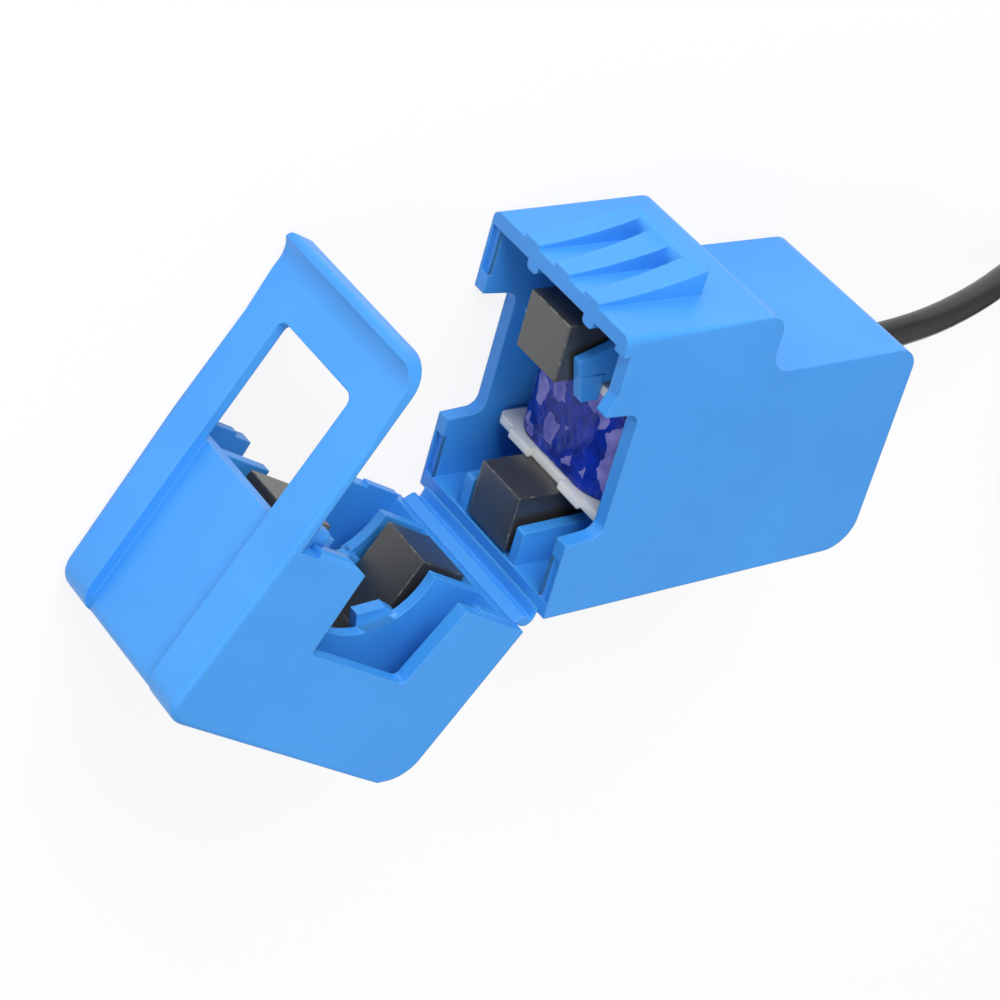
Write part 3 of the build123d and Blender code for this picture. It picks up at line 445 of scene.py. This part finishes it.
# %% Rounded lid
HINGE_AXIS = np.array([-0.14, -17.58])
LID_TURN = np.radians(62.5)
HEEL_CORNER, HEEL_RADIUS = (-19.5, 16.7), 2.6
END_FACE_SKIN = 0.15
PANEL_Y, PANEL_Z = 15.5, (4.9, 17.1)
PANEL_SLACK = 0.02
RAIL_ROLL = 0.3
END_FADE, END_CUTS = (-14.0, 10.0), 4
FLAP_EDGE_RADIUS = 0.7
FLAP_FADE, FLAP_CUTS = (11.0, 15.5), 6
FLAP_TAPER = 0.018


def turned(points, angle):
    """Points turned about the hinge's axis by an angle."""
    around = np.array([[np.cos(angle), np.sin(angle)], [-np.sin(angle), np.cos(angle)]])
    moved = points.copy()
    moved[:, :2] = (points[:, :2] - HINGE_AXIS) @ around + HINGE_AXIS
    return moved


def closed_lid():
    """The lid's merged copy, turned back to its closed place."""
    mesh = to_mesh(merged_copy("case_lid"), "closed_lid")
    put_points(mesh, turned(shell_points(mesh), -LID_TURN))
    shell = edit_mesh(mesh)
    bpy.data.meshes.remove(mesh)
    return shell


# %% [markdown]
# A face can only bend where it has points, so everything is cut before anything is pulled in.

# %% Lid cuts


def cut_lid(shell):
    """The lid's fans, the cuts where a radius falls, and the cuts beside the rails."""
    heel_x, flap_y = HEEL_CORNER
    for side in (-1, 1):
        lean = (-SIDE_DRAFT, 0, side)
        cut_fan(shell, (0, flap_y, MID_Z + side * MID_Z), (0, 1, 0), lean, FLAP_EDGE_RADIUS)
        cut_fan(shell, (heel_x, 0, MID_Z + side * (MID_Z + SIDE_DRAFT * heel_x)), (-1, 0, 0), lean,
                FLAP_EDGE_RADIUS)
    cut_fan(shell, (heel_x, flap_y, 0), (-1, 0, 0), (0, 1, 0), HEEL_RADIUS)
    for x in np.linspace(*FLAP_FADE, FLAP_CUTS):
        cut(shell, shell.faces, (x * MM, 0, 0), (1, 0, 0))
    for y in -np.linspace(*END_FADE, END_CUTS):
        cut(shell, shell.faces, (0, y * MM, 0), (0, 1, 0))

    def in_heel(face):
        middle = face.calc_center_median()
        return middle.x < (heel_x + HEEL_RADIUS) * MM and middle.y > (flap_y - HEEL_RADIUS) * MM

    low, high = PANEL_Z
    for z in (low - RAIL_ROLL, low, high, high + RAIL_ROLL):
        cut(shell, [face for face in shell.faces if in_heel(face)], (0, 0, z * MM), (0, 0, 1))


# %% [markdown]
# The heel is pulled in first. It turns squares into circles of the same reach, so the cuts beside
# the side edges follow the heel, and the side edges can then be pulled in along it.

# %% Lid arcs


def rolled_heel(x, y, z):
    """The heel's square pulled in to its arc, with the panel's smaller arc between the rails."""
    heel_x, flap_y = HEEL_CORNER
    heel_y = flap_y - HEEL_RADIUS
    low, high = PANEL_Z
    x = np.where(x < heel_x + END_FACE_SKIN, heel_x, x)
    panel = (z > low - PANEL_SLACK) & (z < high + PANEL_SLACK) & (y < PANEL_Y + PANEL_SLACK)
    radius = np.where(panel, PANEL_Y - heel_y, HEEL_RADIUS)
    centre = heel_x + radius
    scale, inside = pull_in(centre - x, y - heel_y, radius)
    return centre - (centre - x) * scale, heel_y + (y - heel_y) * scale, int(inside.sum())


def rolled_sides(x, y, z):
    """The two side edges, which follow the flap, the heel's arc and the end face. Depth is counted
    from that line: from the arc's centre where a point is past it, and straight elsewhere."""
    heel_x, flap_y = HEEL_CORNER
    radius = FLAP_EDGE_RADIUS * faded(x, *FLAP_FADE) * faded(-y, *END_FADE) + HAIR
    flat = MID_Z - np.where(x < 0, -SIDE_DRAFT, FLAP_TAPER) * x - radius
    over_x = np.minimum(x - heel_x - HEEL_RADIUS, 0)
    over_y = np.maximum(y - (flap_y - HEEL_RADIUS), 0)
    reach = np.maximum(np.hypot(over_x, over_y), SPECK)
    out = reach - HEEL_RADIUS + radius
    moved = 0
    for side in (-1, 1):
        up = side * (z - MID_Z) - flat
        scale, inside = pull_in(out, up, radius)
        shorter = (HEEL_RADIUS - radius + out * scale) / reach
        x = np.where(inside, x + over_x * (shorter - 1), x)
        y = np.where(inside, y + over_y * (shorter - 1), y)
        z = np.where(inside, MID_Z + side * (flat + up * scale), z)
        moved += int(inside.sum())
    return x, y, z, moved


def rounded_lid():
    """Merged lid, closed, its heel and then its side edges pulled in, opened again."""
    shell = closed_lid()
    cut_lid(shell)
    mesh = to_mesh(shell, "lid_shell")
    x, y, z = shell_points(mesh).T
    x, y, heel_count = rolled_heel(x, y, z)
    x, y, z, side_count = rolled_sides(x, y, z)
    points = np.column_stack((x, y, z))
    print("lid:", len(mesh.polygons), "faces,", heel_count + side_count, "points pulled in")
    return finished_shell("lid_shell", mesh, turned(points, LID_TURN), "case_lid", "lid")


rounded_lid()

# %% [markdown]
# ## The cable
# The lead drops out of the end wall, runs down to the table, and its unseen length is wound into
# a round coil, three turns wide and three high. One NURBS spline carries it all: the route's
# points, then sixteen points for each turn, then the tail's points up to the plug. A turn keeps its
# own lane in the three by three stack and moves to the next lane over an eighth of a turn. A tube
# swept along straights and arcs would be easier, but it looks like bent wire.

# %% The cable's line
CABLE_DIAMETER = 2.95 * MM
ROUTE = [(31.0, 2.1, 11.2), (45.0, 2.1, 10.8), (59.0, 2.1, 7.2), (71.0, 2.5, 2.0),
         (84.0, 3.6, 1.6), (95.0, 5.0, 1.8)]
TAIL = [(111.0, 4.6, 7.4), (117.0, 3.2, 5.0), (121.0, 2.3, 4.0), (126.0, 2.2, 4.0)]
COIL_CENTRE = np.array([103.5, -15.5])
COIL_LANES = [(2, 0), (1, 0), (0, 0), (0, 1), (0, 2), (1, 2), (1, 1), (2, 1), (2, 2)]
LANE_STEP = 3.05
COIL_RADIUS = 17.5
COIL_LOW = 2.05
COIL_TURNS = 8
POINT_STEP = 360.0 / 16
SHIFT = 45.0
FIRST_SHIFT = 200.0
EARLY_SHIFT = 346.5


# %% [markdown]
# The coil is one formula for the turn angle, with the lane changes added as smooth steps.

# %% Coil


def coil_points():
    """A helix of eight turns. Lane k ends where shift k starts, one turn after the last, and a
    little earlier where the lanes turn a corner, so that the lane ahead is already free. Radius and
    height go from lane to lane by a smooth step. The control points stand a little wide, because
    the spline runs inside them."""
    starts, at = [], FIRST_SHIFT
    for k in range(COIL_TURNS):
        starts.append(at)
        step = np.subtract(COIL_LANES[k + 1], COIL_LANES[k])
        after = np.subtract(COIL_LANES[min(k + 2, COIL_TURNS)], COIL_LANES[k + 1])
        at += 360.0 if np.array_equal(step, after) else EARLY_SHIFT
    wound = np.arange(POINT_STEP / 2, 360.0 * COIL_TURNS, POINT_STEP)
    lane = np.array(COIL_LANES, float)
    share = np.clip((wound[:, None] - np.array(starts)) / SHIFT, 0, 1)
    share = share * share * (3 - 2 * share)
    spot = lane[0] + (share[:, :, None] * np.diff(lane, axis=0)).sum(axis=1)
    radius = (COIL_RADIUS + LANE_STEP * (spot[:, 0] - 1)) / np.cos(np.radians(POINT_STEP / 2))
    turn = np.radians(90.0 - wound)
    across = COIL_CENTRE + np.column_stack((np.cos(turn), np.sin(turn))) * radius[:, None]
    return np.column_stack((across, COIL_LOW + LANE_STEP * spot[:, 1]))


# %% Cable piece


def add_cable():
    """One smooth spline with a round section."""
    line = np.vstack((ROUTE, coil_points(), TAIL)) * MM
    curve = bpy.data.curves.new("cable_line", "CURVE")
    curve.dimensions, curve.bevel_depth, curve.bevel_resolution = "3D", CABLE_DIAMETER / 2, 5
    curve.resolution_u, curve.use_fill_caps = 6, True
    spline = curve.splines.new("NURBS")
    spline.points.add(len(line) - 1)
    spline.points.foreach_set("co", np.column_stack((line, np.ones(len(line)))).ravel())
    spline.order_u, spline.use_endpoint_u = 3, True
    cable = bpy.data.objects.new("lead", curve)
    bpy.context.scene.collection.objects.link(cable)
    length = sum(s.calc_length() for s in curve.splines)
    print("cable:", len(line), "points,", round(length, 3), "m")
    return cable


def jacket():
    """Soft black jacket with a dull shine, a fine grain and a little dust."""
    finish = Finish("cable_jacket")
    cloud = finish.noise(260, 3, 0.6)
    grain = finish.noise(3500, 2)
    dusty = finish.ramp(cloud, (0.35, 0.0), (0.75, 1.0))
    tone = finish.blend(dusty, colour(20, 21, 23), colour(34, 36, 37))
    return finish.set(Base_Color=tone, Roughness=cloud * 0.16 + 0.26,
                      Normal=finish.bump(grain, 0.00003, 0.35))


lead = add_cable()
lead.data.materials.append(jacket())
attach(lead, "body")
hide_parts("cable", "cable_coil", "cable_tail")

# %% [markdown]
# ## The hinge film
# The two halves are one moulding: a thin film joins them. Open, it sags into a trough beside the
# body and rises in a round bead beside the lid. A cloth simulation could bend it, but its section
# is plain to see, so it is one closed line, smoothed and carried along Z.

# %% Hinge film
FILM_OUTSIDE = [(0.0, -15.5), (-0.25, -16.35), (-0.75, -16.85), (-1.35, -16.88), (-1.967, -16.584)]
FILM_INSIDE = [(-2.5, -16.3), (-1.95, -16.02), (-1.4, -15.74), (-1.0, -15.86), (-0.75, -16.2),
               (-0.5, -16.28), (-0.3, -16.0), (0.0, -15.0)]
FILM_ENDS = (1.0, 20.9)


def smooth_line(points, steps=6):
    """Catmull-Rom: between two points the line is a cubic whose slope at each is half the chord
    between that point's neighbours."""
    given = np.array(points, float)
    padded = np.vstack((2 * given[0] - given[1], given, 2 * given[-1] - given[-2]))
    before, first, second, after = padded[:-3], padded[1:-2], padded[2:-1], padded[3:]
    t = (np.arange(steps) / steps)[None, :, None]
    before, first, second, after = (p[:, None, :] for p in (before, first, second, after))
    line = 0.5 * (2 * first + (second - before) * t
                  + (2 * before - 5 * first + 4 * second - after) * t**2
                  + (3 * first - before - 3 * second + after) * t**3)
    return np.vstack((line.reshape(-1, given.shape[1]), given[-1]))


def add_mesh(name, points, faces, material, sharp=0.7):
    """Mesh object from arrays, smooth but for edges sharper than an angle."""
    mesh = bpy.data.meshes.new(name)
    mesh.from_pydata(points.tolist(), [], faces)
    mesh.materials.append(material)
    mesh.polygons.foreach_set("use_smooth", np.ones(len(mesh.polygons), bool))
    mesh.set_sharp_from_angle(angle=sharp)
    piece = bpy.data.objects.new(name, mesh)
    bpy.context.scene.collection.objects.link(piece)
    return piece


def extruded(name, section, low, high, material):
    """A closed section in X and Y carried along Z between two heights, with both ends closed."""
    count = len(section)
    low_ring = np.column_stack((section, np.full(count, low)))
    high_ring = np.column_stack((section, np.full(count, high)))
    here = np.arange(count)
    ahead = (here + 1) % count
    sides = np.column_stack((here, ahead, ahead + count, here + count)).tolist()
    faces = sides + [here[::-1].tolist(), (here + count).tolist()]
    return add_mesh(name, np.vstack((low_ring, high_ring)) * MM, faces, material)


def face_outwards(piece):
    """Turn every face of a closed mesh to the outside."""
    repair = edit_mesh(piece.data)
    bmesh.ops.recalc_face_normals(repair, faces=repair.faces)
    repair.to_mesh(piece.data)
    repair.free()


film_section = np.vstack((smooth_line(FILM_OUTSIDE), smooth_line(FILM_INSIDE)))
film = extruded("hinge_film", film_section, *FILM_ENDS, PLASTIC)
face_outwards(film)
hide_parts("hinge_web")
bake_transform(film)
print("film section:", len(film_section), "points")

# %% [markdown]
# ## Tape over the winding
# The winding is wrapped in glossy blue film that has creased and holds air. It could be sculpted or
# simulated, but waves that close on themselves give folds that meet in lines, the same each run. So
# the film is a rounded square carried along the winding, and the greatest of six waves dents it.

# %% Tape sizes
tape_low, tape_high = (np.array(c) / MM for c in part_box("winding_tape"))
TAPE_MIDDLE = (tape_low + tape_high) / 2
TAPE_HALF = (tape_high[0] - tape_low[0]) / 2
TAPE_CORNER = 4.6
TAPE_WALL = 0.25
FOLD_DEPTH, LAP_DEPTH, SINK = 0.17, 0.06, 0.05
LAP_PLACE, LAP_WIDTH, LAP_FALL = 1.1, 0.02, 6.4
END_DROP, END_WIDTH = 0.12, 0.012
AROUND, ALONG = 288, 61
WAVES = ((3, 5.0), (5, -7.0), (7, 3.0), (9, 9.0), (4, -12.0), (12, -4.0))
CALM_PLACE = (0.0055, -0.0036, 0.0142)
RIM_STEEPNESS = 600.0


def rounded_square(angle, half, corner):
    """Distance from the middle to a rounded square along each angle: the flat side where the ray
    meets it, and otherwise the arc about the corner's centre."""
    across, up = np.abs(np.cos(angle)), np.abs(np.sin(angle))
    inner = half - corner
    flat = half / np.maximum(across, up)
    along = inner * (across + up)
    arc = along + np.sqrt(np.maximum(along**2 - 2 * inner**2 + corner**2, 0))
    return np.where(np.minimum(across, up) * flat <= inner, flat, arc)


# %% Tape surface


def creases(angle, along):
    """Folded sheet from -1 to 0: the greatest of several ridges, each one minus the size of a slow
    wave, so that slopes meet in lines."""
    maker = np.random.default_rng(11)
    ridges = []
    for turns, climb in WAVES:
        wave = np.sin(turns * angle + climb * along + maker.uniform(0, 6.3))
        bend = np.sin((turns + 2) * angle - 0.6 * climb * along + maker.uniform(0, 6.3))
        ridges.append(-np.abs(wave + 0.5 * bend) / 1.5)
    return np.max(ridges, axis=0)


def tape_film():
    """The film's outside, turned in at both ends and back along the inside, closed all round. Its
    radius is the rounded square's, less the folds, with a step where the film's end laps over."""
    around = np.linspace(0, 2 * np.pi, AROUND, endpoint=False)
    share = np.linspace(0, 1, ALONG)
    low_y, high_y = tape_low[1], tape_high[1]
    outside_y = low_y + (high_y - low_y) * share
    drop = END_DROP * (np.exp(-(share / END_WIDTH) ** 2)
                       + np.exp(-(((1 - share) / END_WIDTH) ** 2)))
    angle, along = np.meshgrid(around, share)
    past_lap = np.mod(angle - LAP_PLACE, 2 * np.pi)
    lap = np.clip(past_lap / LAP_WIDTH, 0, 1) * (1 - past_lap / LAP_FALL)
    dent = FOLD_DEPTH * creases(angle, along) + LAP_DEPTH * lap - SINK - drop[:, None]
    outside = rounded_square(angle, TAPE_HALF, TAPE_CORNER) + dent
    inside = rounded_square(angle, TAPE_HALF - TAPE_WALL, TAPE_CORNER - TAPE_WALL)[[-1, 0]]
    reach = np.vstack((outside, inside))
    level = np.concatenate((outside_y, [high_y, low_y]))
    rows, columns = reach.shape
    x = TAPE_MIDDLE[0] + reach * np.cos(around)
    z = TAPE_MIDDLE[2] + reach * np.sin(around)
    y = np.broadcast_to(level[:, None], reach.shape)
    points = np.stack((x, y, z), axis=-1).reshape(-1, 3)
    row, column = np.meshgrid(np.arange(rows), np.arange(columns), indexing="ij")
    below, beside = (row + 1) % rows, (column + 1) % columns
    faces = np.stack((row * columns + column, below * columns + column, below * columns + beside,
                      row * columns + beside), axis=-1).reshape(-1, 4)
    return points * MM, faces.tolist()


# %% [markdown]
# The film is deep blue where it lies tight. Its pale lilac flakes are a painted reflection of the
# sky, and a cell pattern with wobbling walls gives flakes of that kind.

# %% Tape finish


def tape_finish():
    """Deep blue gloss. Cells of a stretched pattern are pale where their number is high, except
    in one calm place and beside the rim: a painted reflection of the sky. Contours of a noise are
    fine pale creases, their pale lines a painted highlight."""
    finish = Finish("tape_film")
    calm = finish.ramp(finish.away(CALM_PLACE), (0.0028, 0.5), (0.0036, 0.0))
    place = finish.node("ShaderNodeTexCoord", output=3)
    height = finish.node("ShaderNodeSeparateXYZ", {}, {0: place}, 1)
    rim = finish.ramp((height - tape_low[1] * MM) * RIM_STEEPNESS, (0.0, 0.5), (1.0, 0.0))
    number = finish.cells(620, (1.0, 0.62, 1.0), 0.0011)
    # Painted reflection: pale lilac flakes where the cell number is high, also rougher and slightly
    # raised.
    reflection_flakes = finish.ramp(number - calm - rim, (0.54, 0.0), (0.55, 1.0))
    sheet = finish.noise(420, 0.5, 0.5, (1.0, 0.4, 1.0), 0.4)
    # Painted highlight: thin pale lines along the noise's contours, blended toward a lighter blue.
    crease_highlight = finish.ramp(sheet, (0.489, 0.0), (0.5, 1.0), (0.511, 0.0))
    tint = finish.ramp(finish.noise(500, 2), (0.35, 0.0), (0.65, 1.0))
    deep = finish.blend(tint, colour(10, 36, 124), colour(18, 52, 172))
    pale = finish.blend(tint, colour(92, 94, 176), colour(146, 140, 206))
    tone = finish.blend(reflection_flakes, finish.blend(crease_highlight * 0.35, deep, colour(86, 104, 204)), pale)
    return finish.set(Base_Color=tone, Roughness=reflection_flakes * 0.1 + 0.2, Specular_IOR_Level=0.2,
                      Normal=finish.bump(sheet, 0.0003, 0.35, finish.bump(reflection_flakes, 0.0001, 0.5)))


tape = add_mesh("tape_wrap", *tape_film(), tape_finish(), sharp=1.2)
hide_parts("winding_tape")
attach(tape, "body")
print("tape:", len(tape.data.polygons), "faces, half width", round(TAPE_HALF, 2), "mm")

# %% [markdown]
# ## Ferrite
# The cores are pressed ceramic, dark with an olive cast. Their edges are a little rounded, and pale
# grains show where the edges have chipped. Chips this small would need thousands of faces, so they
# are a noise cut off sharply, and only the band along an edge lets it through.

# %% Ferrite


def ferrite_finish():
    """Dark ceramic with olive clouds, pits, and pale chips along the edges."""
    finish = Finish("ferrite")
    cloud = finish.noise(260, 3, 0.6)
    speck = finish.noise(2600, 3, 0.7)
    chip = finish.ramp(finish.noise(1500, 3, 0.75), (0.53, 0.0), (0.6, 1.0))
    rolled = finish.rounded(0.3 * MM)
    worn = finish.edges(rolled) * chip
    tone = finish.blend(cloud, colour(38, 40, 40), colour(58, 57, 51))
    tone = finish.blend(worn * 0.75, tone, colour(150, 148, 132))
    dust = finish.ramp(speck, (0.66, 0.0), (0.72, 1.0))
    tone = finish.blend(dust * 0.35, tone, colour(128, 126, 116))
    return finish.set(Base_Color=tone, Roughness=cloud * 0.16 + 0.3, IOR=1.9,
                      Normal=finish.bump(speck, 0.00004, 0.5, rolled))


dress(ferrite_finish(), "fixed_core", "lid_core")

# %% [markdown]
# ## The coil former
# White nylon, moulded, with soft edges and a waxy shine. The CAD's shape is right, so it only gets
# a finish, whose rolled normal is wider than the case's.

# %% Coil former


def former_finish():
    """Milky white with faint warm clouds and well rounded edges."""
    finish = Finish("former_nylon")
    cloud = finish.noise(300, 3, 0.55)
    tone = finish.blend(cloud, colour(236, 238, 231), colour(247, 247, 241))
    return finish.set(Base_Color=tone, Roughness=cloud * 0.15 + 0.34,
                      Normal=finish.bump(cloud, 0.0001, 0.3, finish.rounded(0.35 * MM)))


dress(former_finish(), "bobbin")

# %% [markdown]
# ## Small parts
# Pins, wires, ties and the plug are small or hidden. One helper serves most of them: each has its
# tone, a cloud that shifts that tone, a gloss that follows the cloud, and edges rolled over by up
# to 0.2 mm. The copper and the strap show a repeat, so each has a finish of its own.

# %% Small parts


def small_part(name, dark, light, roughness, metallic=0.0, edge=0.12, grain=900):
    """Two tones through a cloud, uneven gloss, rolled edges."""
    finish = Finish(name)
    cloud = finish.noise(grain, 3, 0.6)
    return finish.set(Base_Color=finish.blend(cloud, colour(*dark), colour(*light)),
                      Roughness=cloud * 0.16 + (roughness - 0.08), Metallic=metallic,
                      Normal=finish.bump(cloud, 0.00003, 0.35, finish.rounded(edge * MM)))


def enamelled_wire():
    """Fine copper turns side by side round the former, seen as rows of ridges along Y, with painted
    shade darkening the grooves between them.
    """
    finish = Finish("enamelled_wire")
    rows = finish.node("ShaderNodeTexWave", {"bands_direction": "Y", "wave_profile": "SIN"},
                       {"Vector": finish.place(), "Scale": 1250.0, "Distortion": 0.2})
    # Painted shade: the colour is darker in the grooves between turns and lighter on their crests.
    tone = finish.blend(rows, colour(120, 52, 20), colour(196, 104, 48))
    return finish.set(Base_Color=tone, Roughness=rows * 0.1 + 0.25, Metallic=0.85,
                      Normal=finish.bump(rows, 0.00008, 0.6))


def strap_finish():
    """Black strap with small teeth across it."""
    finish = Finish("strap")
    teeth = finish.node("ShaderNodeTexWave", {"bands_direction": "Z", "wave_profile": "SAW"},
                        {"Vector": finish.place(), "Scale": 320.0})
    cloud = finish.noise(700, 2)
    return finish.set(Base_Color=finish.blend(cloud, colour(26, 26, 27), colour(42, 42, 43)),
                      Roughness=cloud * 0.15 + 0.4, Normal=finish.bump(teeth, 0.0002, 0.6))


dress(enamelled_wire(), "winding")
dress(small_part("tinned", (150, 150, 150), (205, 205, 202), 0.32, 1.0, 0.05, 2200),
      "terminal_pin_a", "terminal_pin_b", "suppressor_leads")
dress(small_part("foam", (42, 42, 44), (70, 70, 72), 0.95, 0.0, 0.2, 3000), "core_pad")
dress(small_part("epoxy", (24, 24, 26), (38, 38, 40), 0.45), "suppressor")
dress(small_part("white_sleeve", (208, 208, 202), (230, 230, 226), 0.4), "core_wire_a")
dress(small_part("red_sleeve", (158, 18, 20), (196, 34, 34), 0.4), "core_wire_b")
dress(small_part("tie_nylon", (210, 211, 204), (232, 232, 226), 0.35), "inner_tie")
dress(strap_finish(), "coil_tie")
dress(small_part("plug_moulding", (24, 25, 27), (38, 39, 41), 0.42, 0.0, 0.2),
      "plug_housing", "plug_insulator_a", "plug_insulator_b")
dress(small_part("nickel", (176, 176, 178), (214, 213, 210), 0.2, 1.0, 0.08, 1600),
      "plug_sleeve", "plug_ring", "plug_tip")

# %% [markdown]
# ## The floor
# The photograph is a product shot on white. The floor mixes plain diffuse white, which takes the
# part's shadow, with a glow that only the camera and reflections see, so that it reads as white
# paper without lighting the part.

# %% Floor
FLOOR_HALF, FLOOR_LEVEL = 6.0, -1e-4
GLOW_SHARE = 0.85


def seen_rays(finish):
    """1 for camera, glossy and transmission rays, 0 for the rays that carry light about."""
    path = finish.node("ShaderNodeLightPath").socket.node
    camera_ray, glossy, passing = (Value(finish, path.outputs[name]) for name in
                                   ("Is Camera Ray", "Is Glossy Ray", "Is Transmission Ray"))
    return (camera_ray + glossy + passing).clamped()


def add_floor():
    """A wide white sheet under the part."""
    mesh = bpy.data.meshes.new("floor")
    corners = [(x * FLOOR_HALF, y * FLOOR_HALF, FLOOR_LEVEL)
               for x, y in ((-1, -1), (1, -1), (1, 1), (-1, 1))]
    mesh.from_pydata(corners, [], [(0, 1, 2, 3)])
    floor = bpy.data.objects.new("floor", mesh)
    bpy.context.scene.collection.objects.link(floor)
    finish = Finish("floor_white")
    finish.set(Base_Color=(0.9, 0.9, 0.9), Roughness=0.9)
    glow = finish.node("ShaderNodeEmission", {}, {"Color": (1.0, 1.0, 1.0), "Strength": 1.0})
    plain = Value(finish, finish.shader.outputs[0])
    mixed = finish.node("ShaderNodeMixShader", {},
                        {0: seen_rays(finish) * GLOW_SHARE, 1: plain, 2: glow})
    finish.links.new(mixed.socket, finish.nodes["Material Output"].inputs[0])
    mesh.materials.append(finish.material)


add_floor()

# %% [markdown]
# ## Lamps and room
# A large lamp stands on the latch side and a weaker one over the lid. The room does the rest: a
# bright ceiling and darker walls, so that the insides of the two halves stay darker than the faces.

# %% Lamps and room


def area_light(name, place, target, size, watts):
    """A soft square lamp that faces a target."""
    data = bpy.data.lights.new(name, "AREA")
    data.size, data.energy = size, watts
    lamp = bpy.data.objects.new(name, data)
    bpy.context.scene.collection.objects.link(lamp)
    place, target = Vector(place), Vector(target)
    facing = (place - target).to_track_quat("Z", "Y").to_matrix().to_4x4()
    lamp.matrix_world = Matrix.Translation(place) @ facing


MIDDLE = (0, 0, MID_Z * MM)
LAMP_SIZE = 0.5
area_light("key", (-0.15, 0.75, 0.45), MIDDLE, LAMP_SIZE, 7.0)
area_light("fill", (-0.7, -0.1, 0.6), MIDDLE, LAMP_SIZE, 2.2)


def room_world(ceiling, walls):
    """A pale room round the part: a bright ceiling and greyer walls by the direction's height.
    The camera sees plain white, and reflections see the room at full brightness."""
    world = bpy.data.worlds.new("world")
    bpy.context.scene.world = world
    world.use_nodes = True
    tree = world.node_tree
    made = {name: tree.nodes.new("ShaderNode" + name) for name in
            ("LightPath", "TexCoord", "SeparateXYZ", "ValToRGB", "MixRGB")}
    gain = tree.nodes.new("ShaderNodeMapRange")
    ramp = made["ValToRGB"].color_ramp
    ramp.elements[0].position, ramp.elements[0].color = 0.05, (walls / ceiling,) * 3 + (1,)
    ramp.elements[1].position, ramp.elements[1].color = 0.75, (1, 1, 1, 1)
    tree.links.new(made["TexCoord"].outputs["Generated"], made["SeparateXYZ"].inputs[0])
    tree.links.new(made["SeparateXYZ"].outputs["Z"], made["ValToRGB"].inputs[0])
    tree.links.new(made["LightPath"].outputs["Is Camera Ray"], made["MixRGB"].inputs[0])
    tree.links.new(made["ValToRGB"].outputs[0], made["MixRGB"].inputs[1])
    made["MixRGB"].inputs[2].default_value = (1, 1, 1, 1)
    seen = tree.nodes.new("ShaderNodeMath")
    seen.operation, seen.use_clamp = "ADD", True
    tree.links.new(made["LightPath"].outputs["Is Camera Ray"], seen.inputs[0])
    tree.links.new(made["LightPath"].outputs["Is Glossy Ray"], seen.inputs[1])
    gain.inputs["To Min"].default_value = ceiling
    gain.inputs["To Max"].default_value = 1.0
    tree.links.new(seen.outputs[0], gain.inputs["Value"])
    back = tree.nodes["Background"]
    tree.links.new(made["MixRGB"].outputs[0], back.inputs[0])
    tree.links.new(gain.outputs[0], back.inputs[1])


room_world(ceiling=0.62, walls=0.14)
bpy.context.scene.view_settings.view_transform = "Standard"
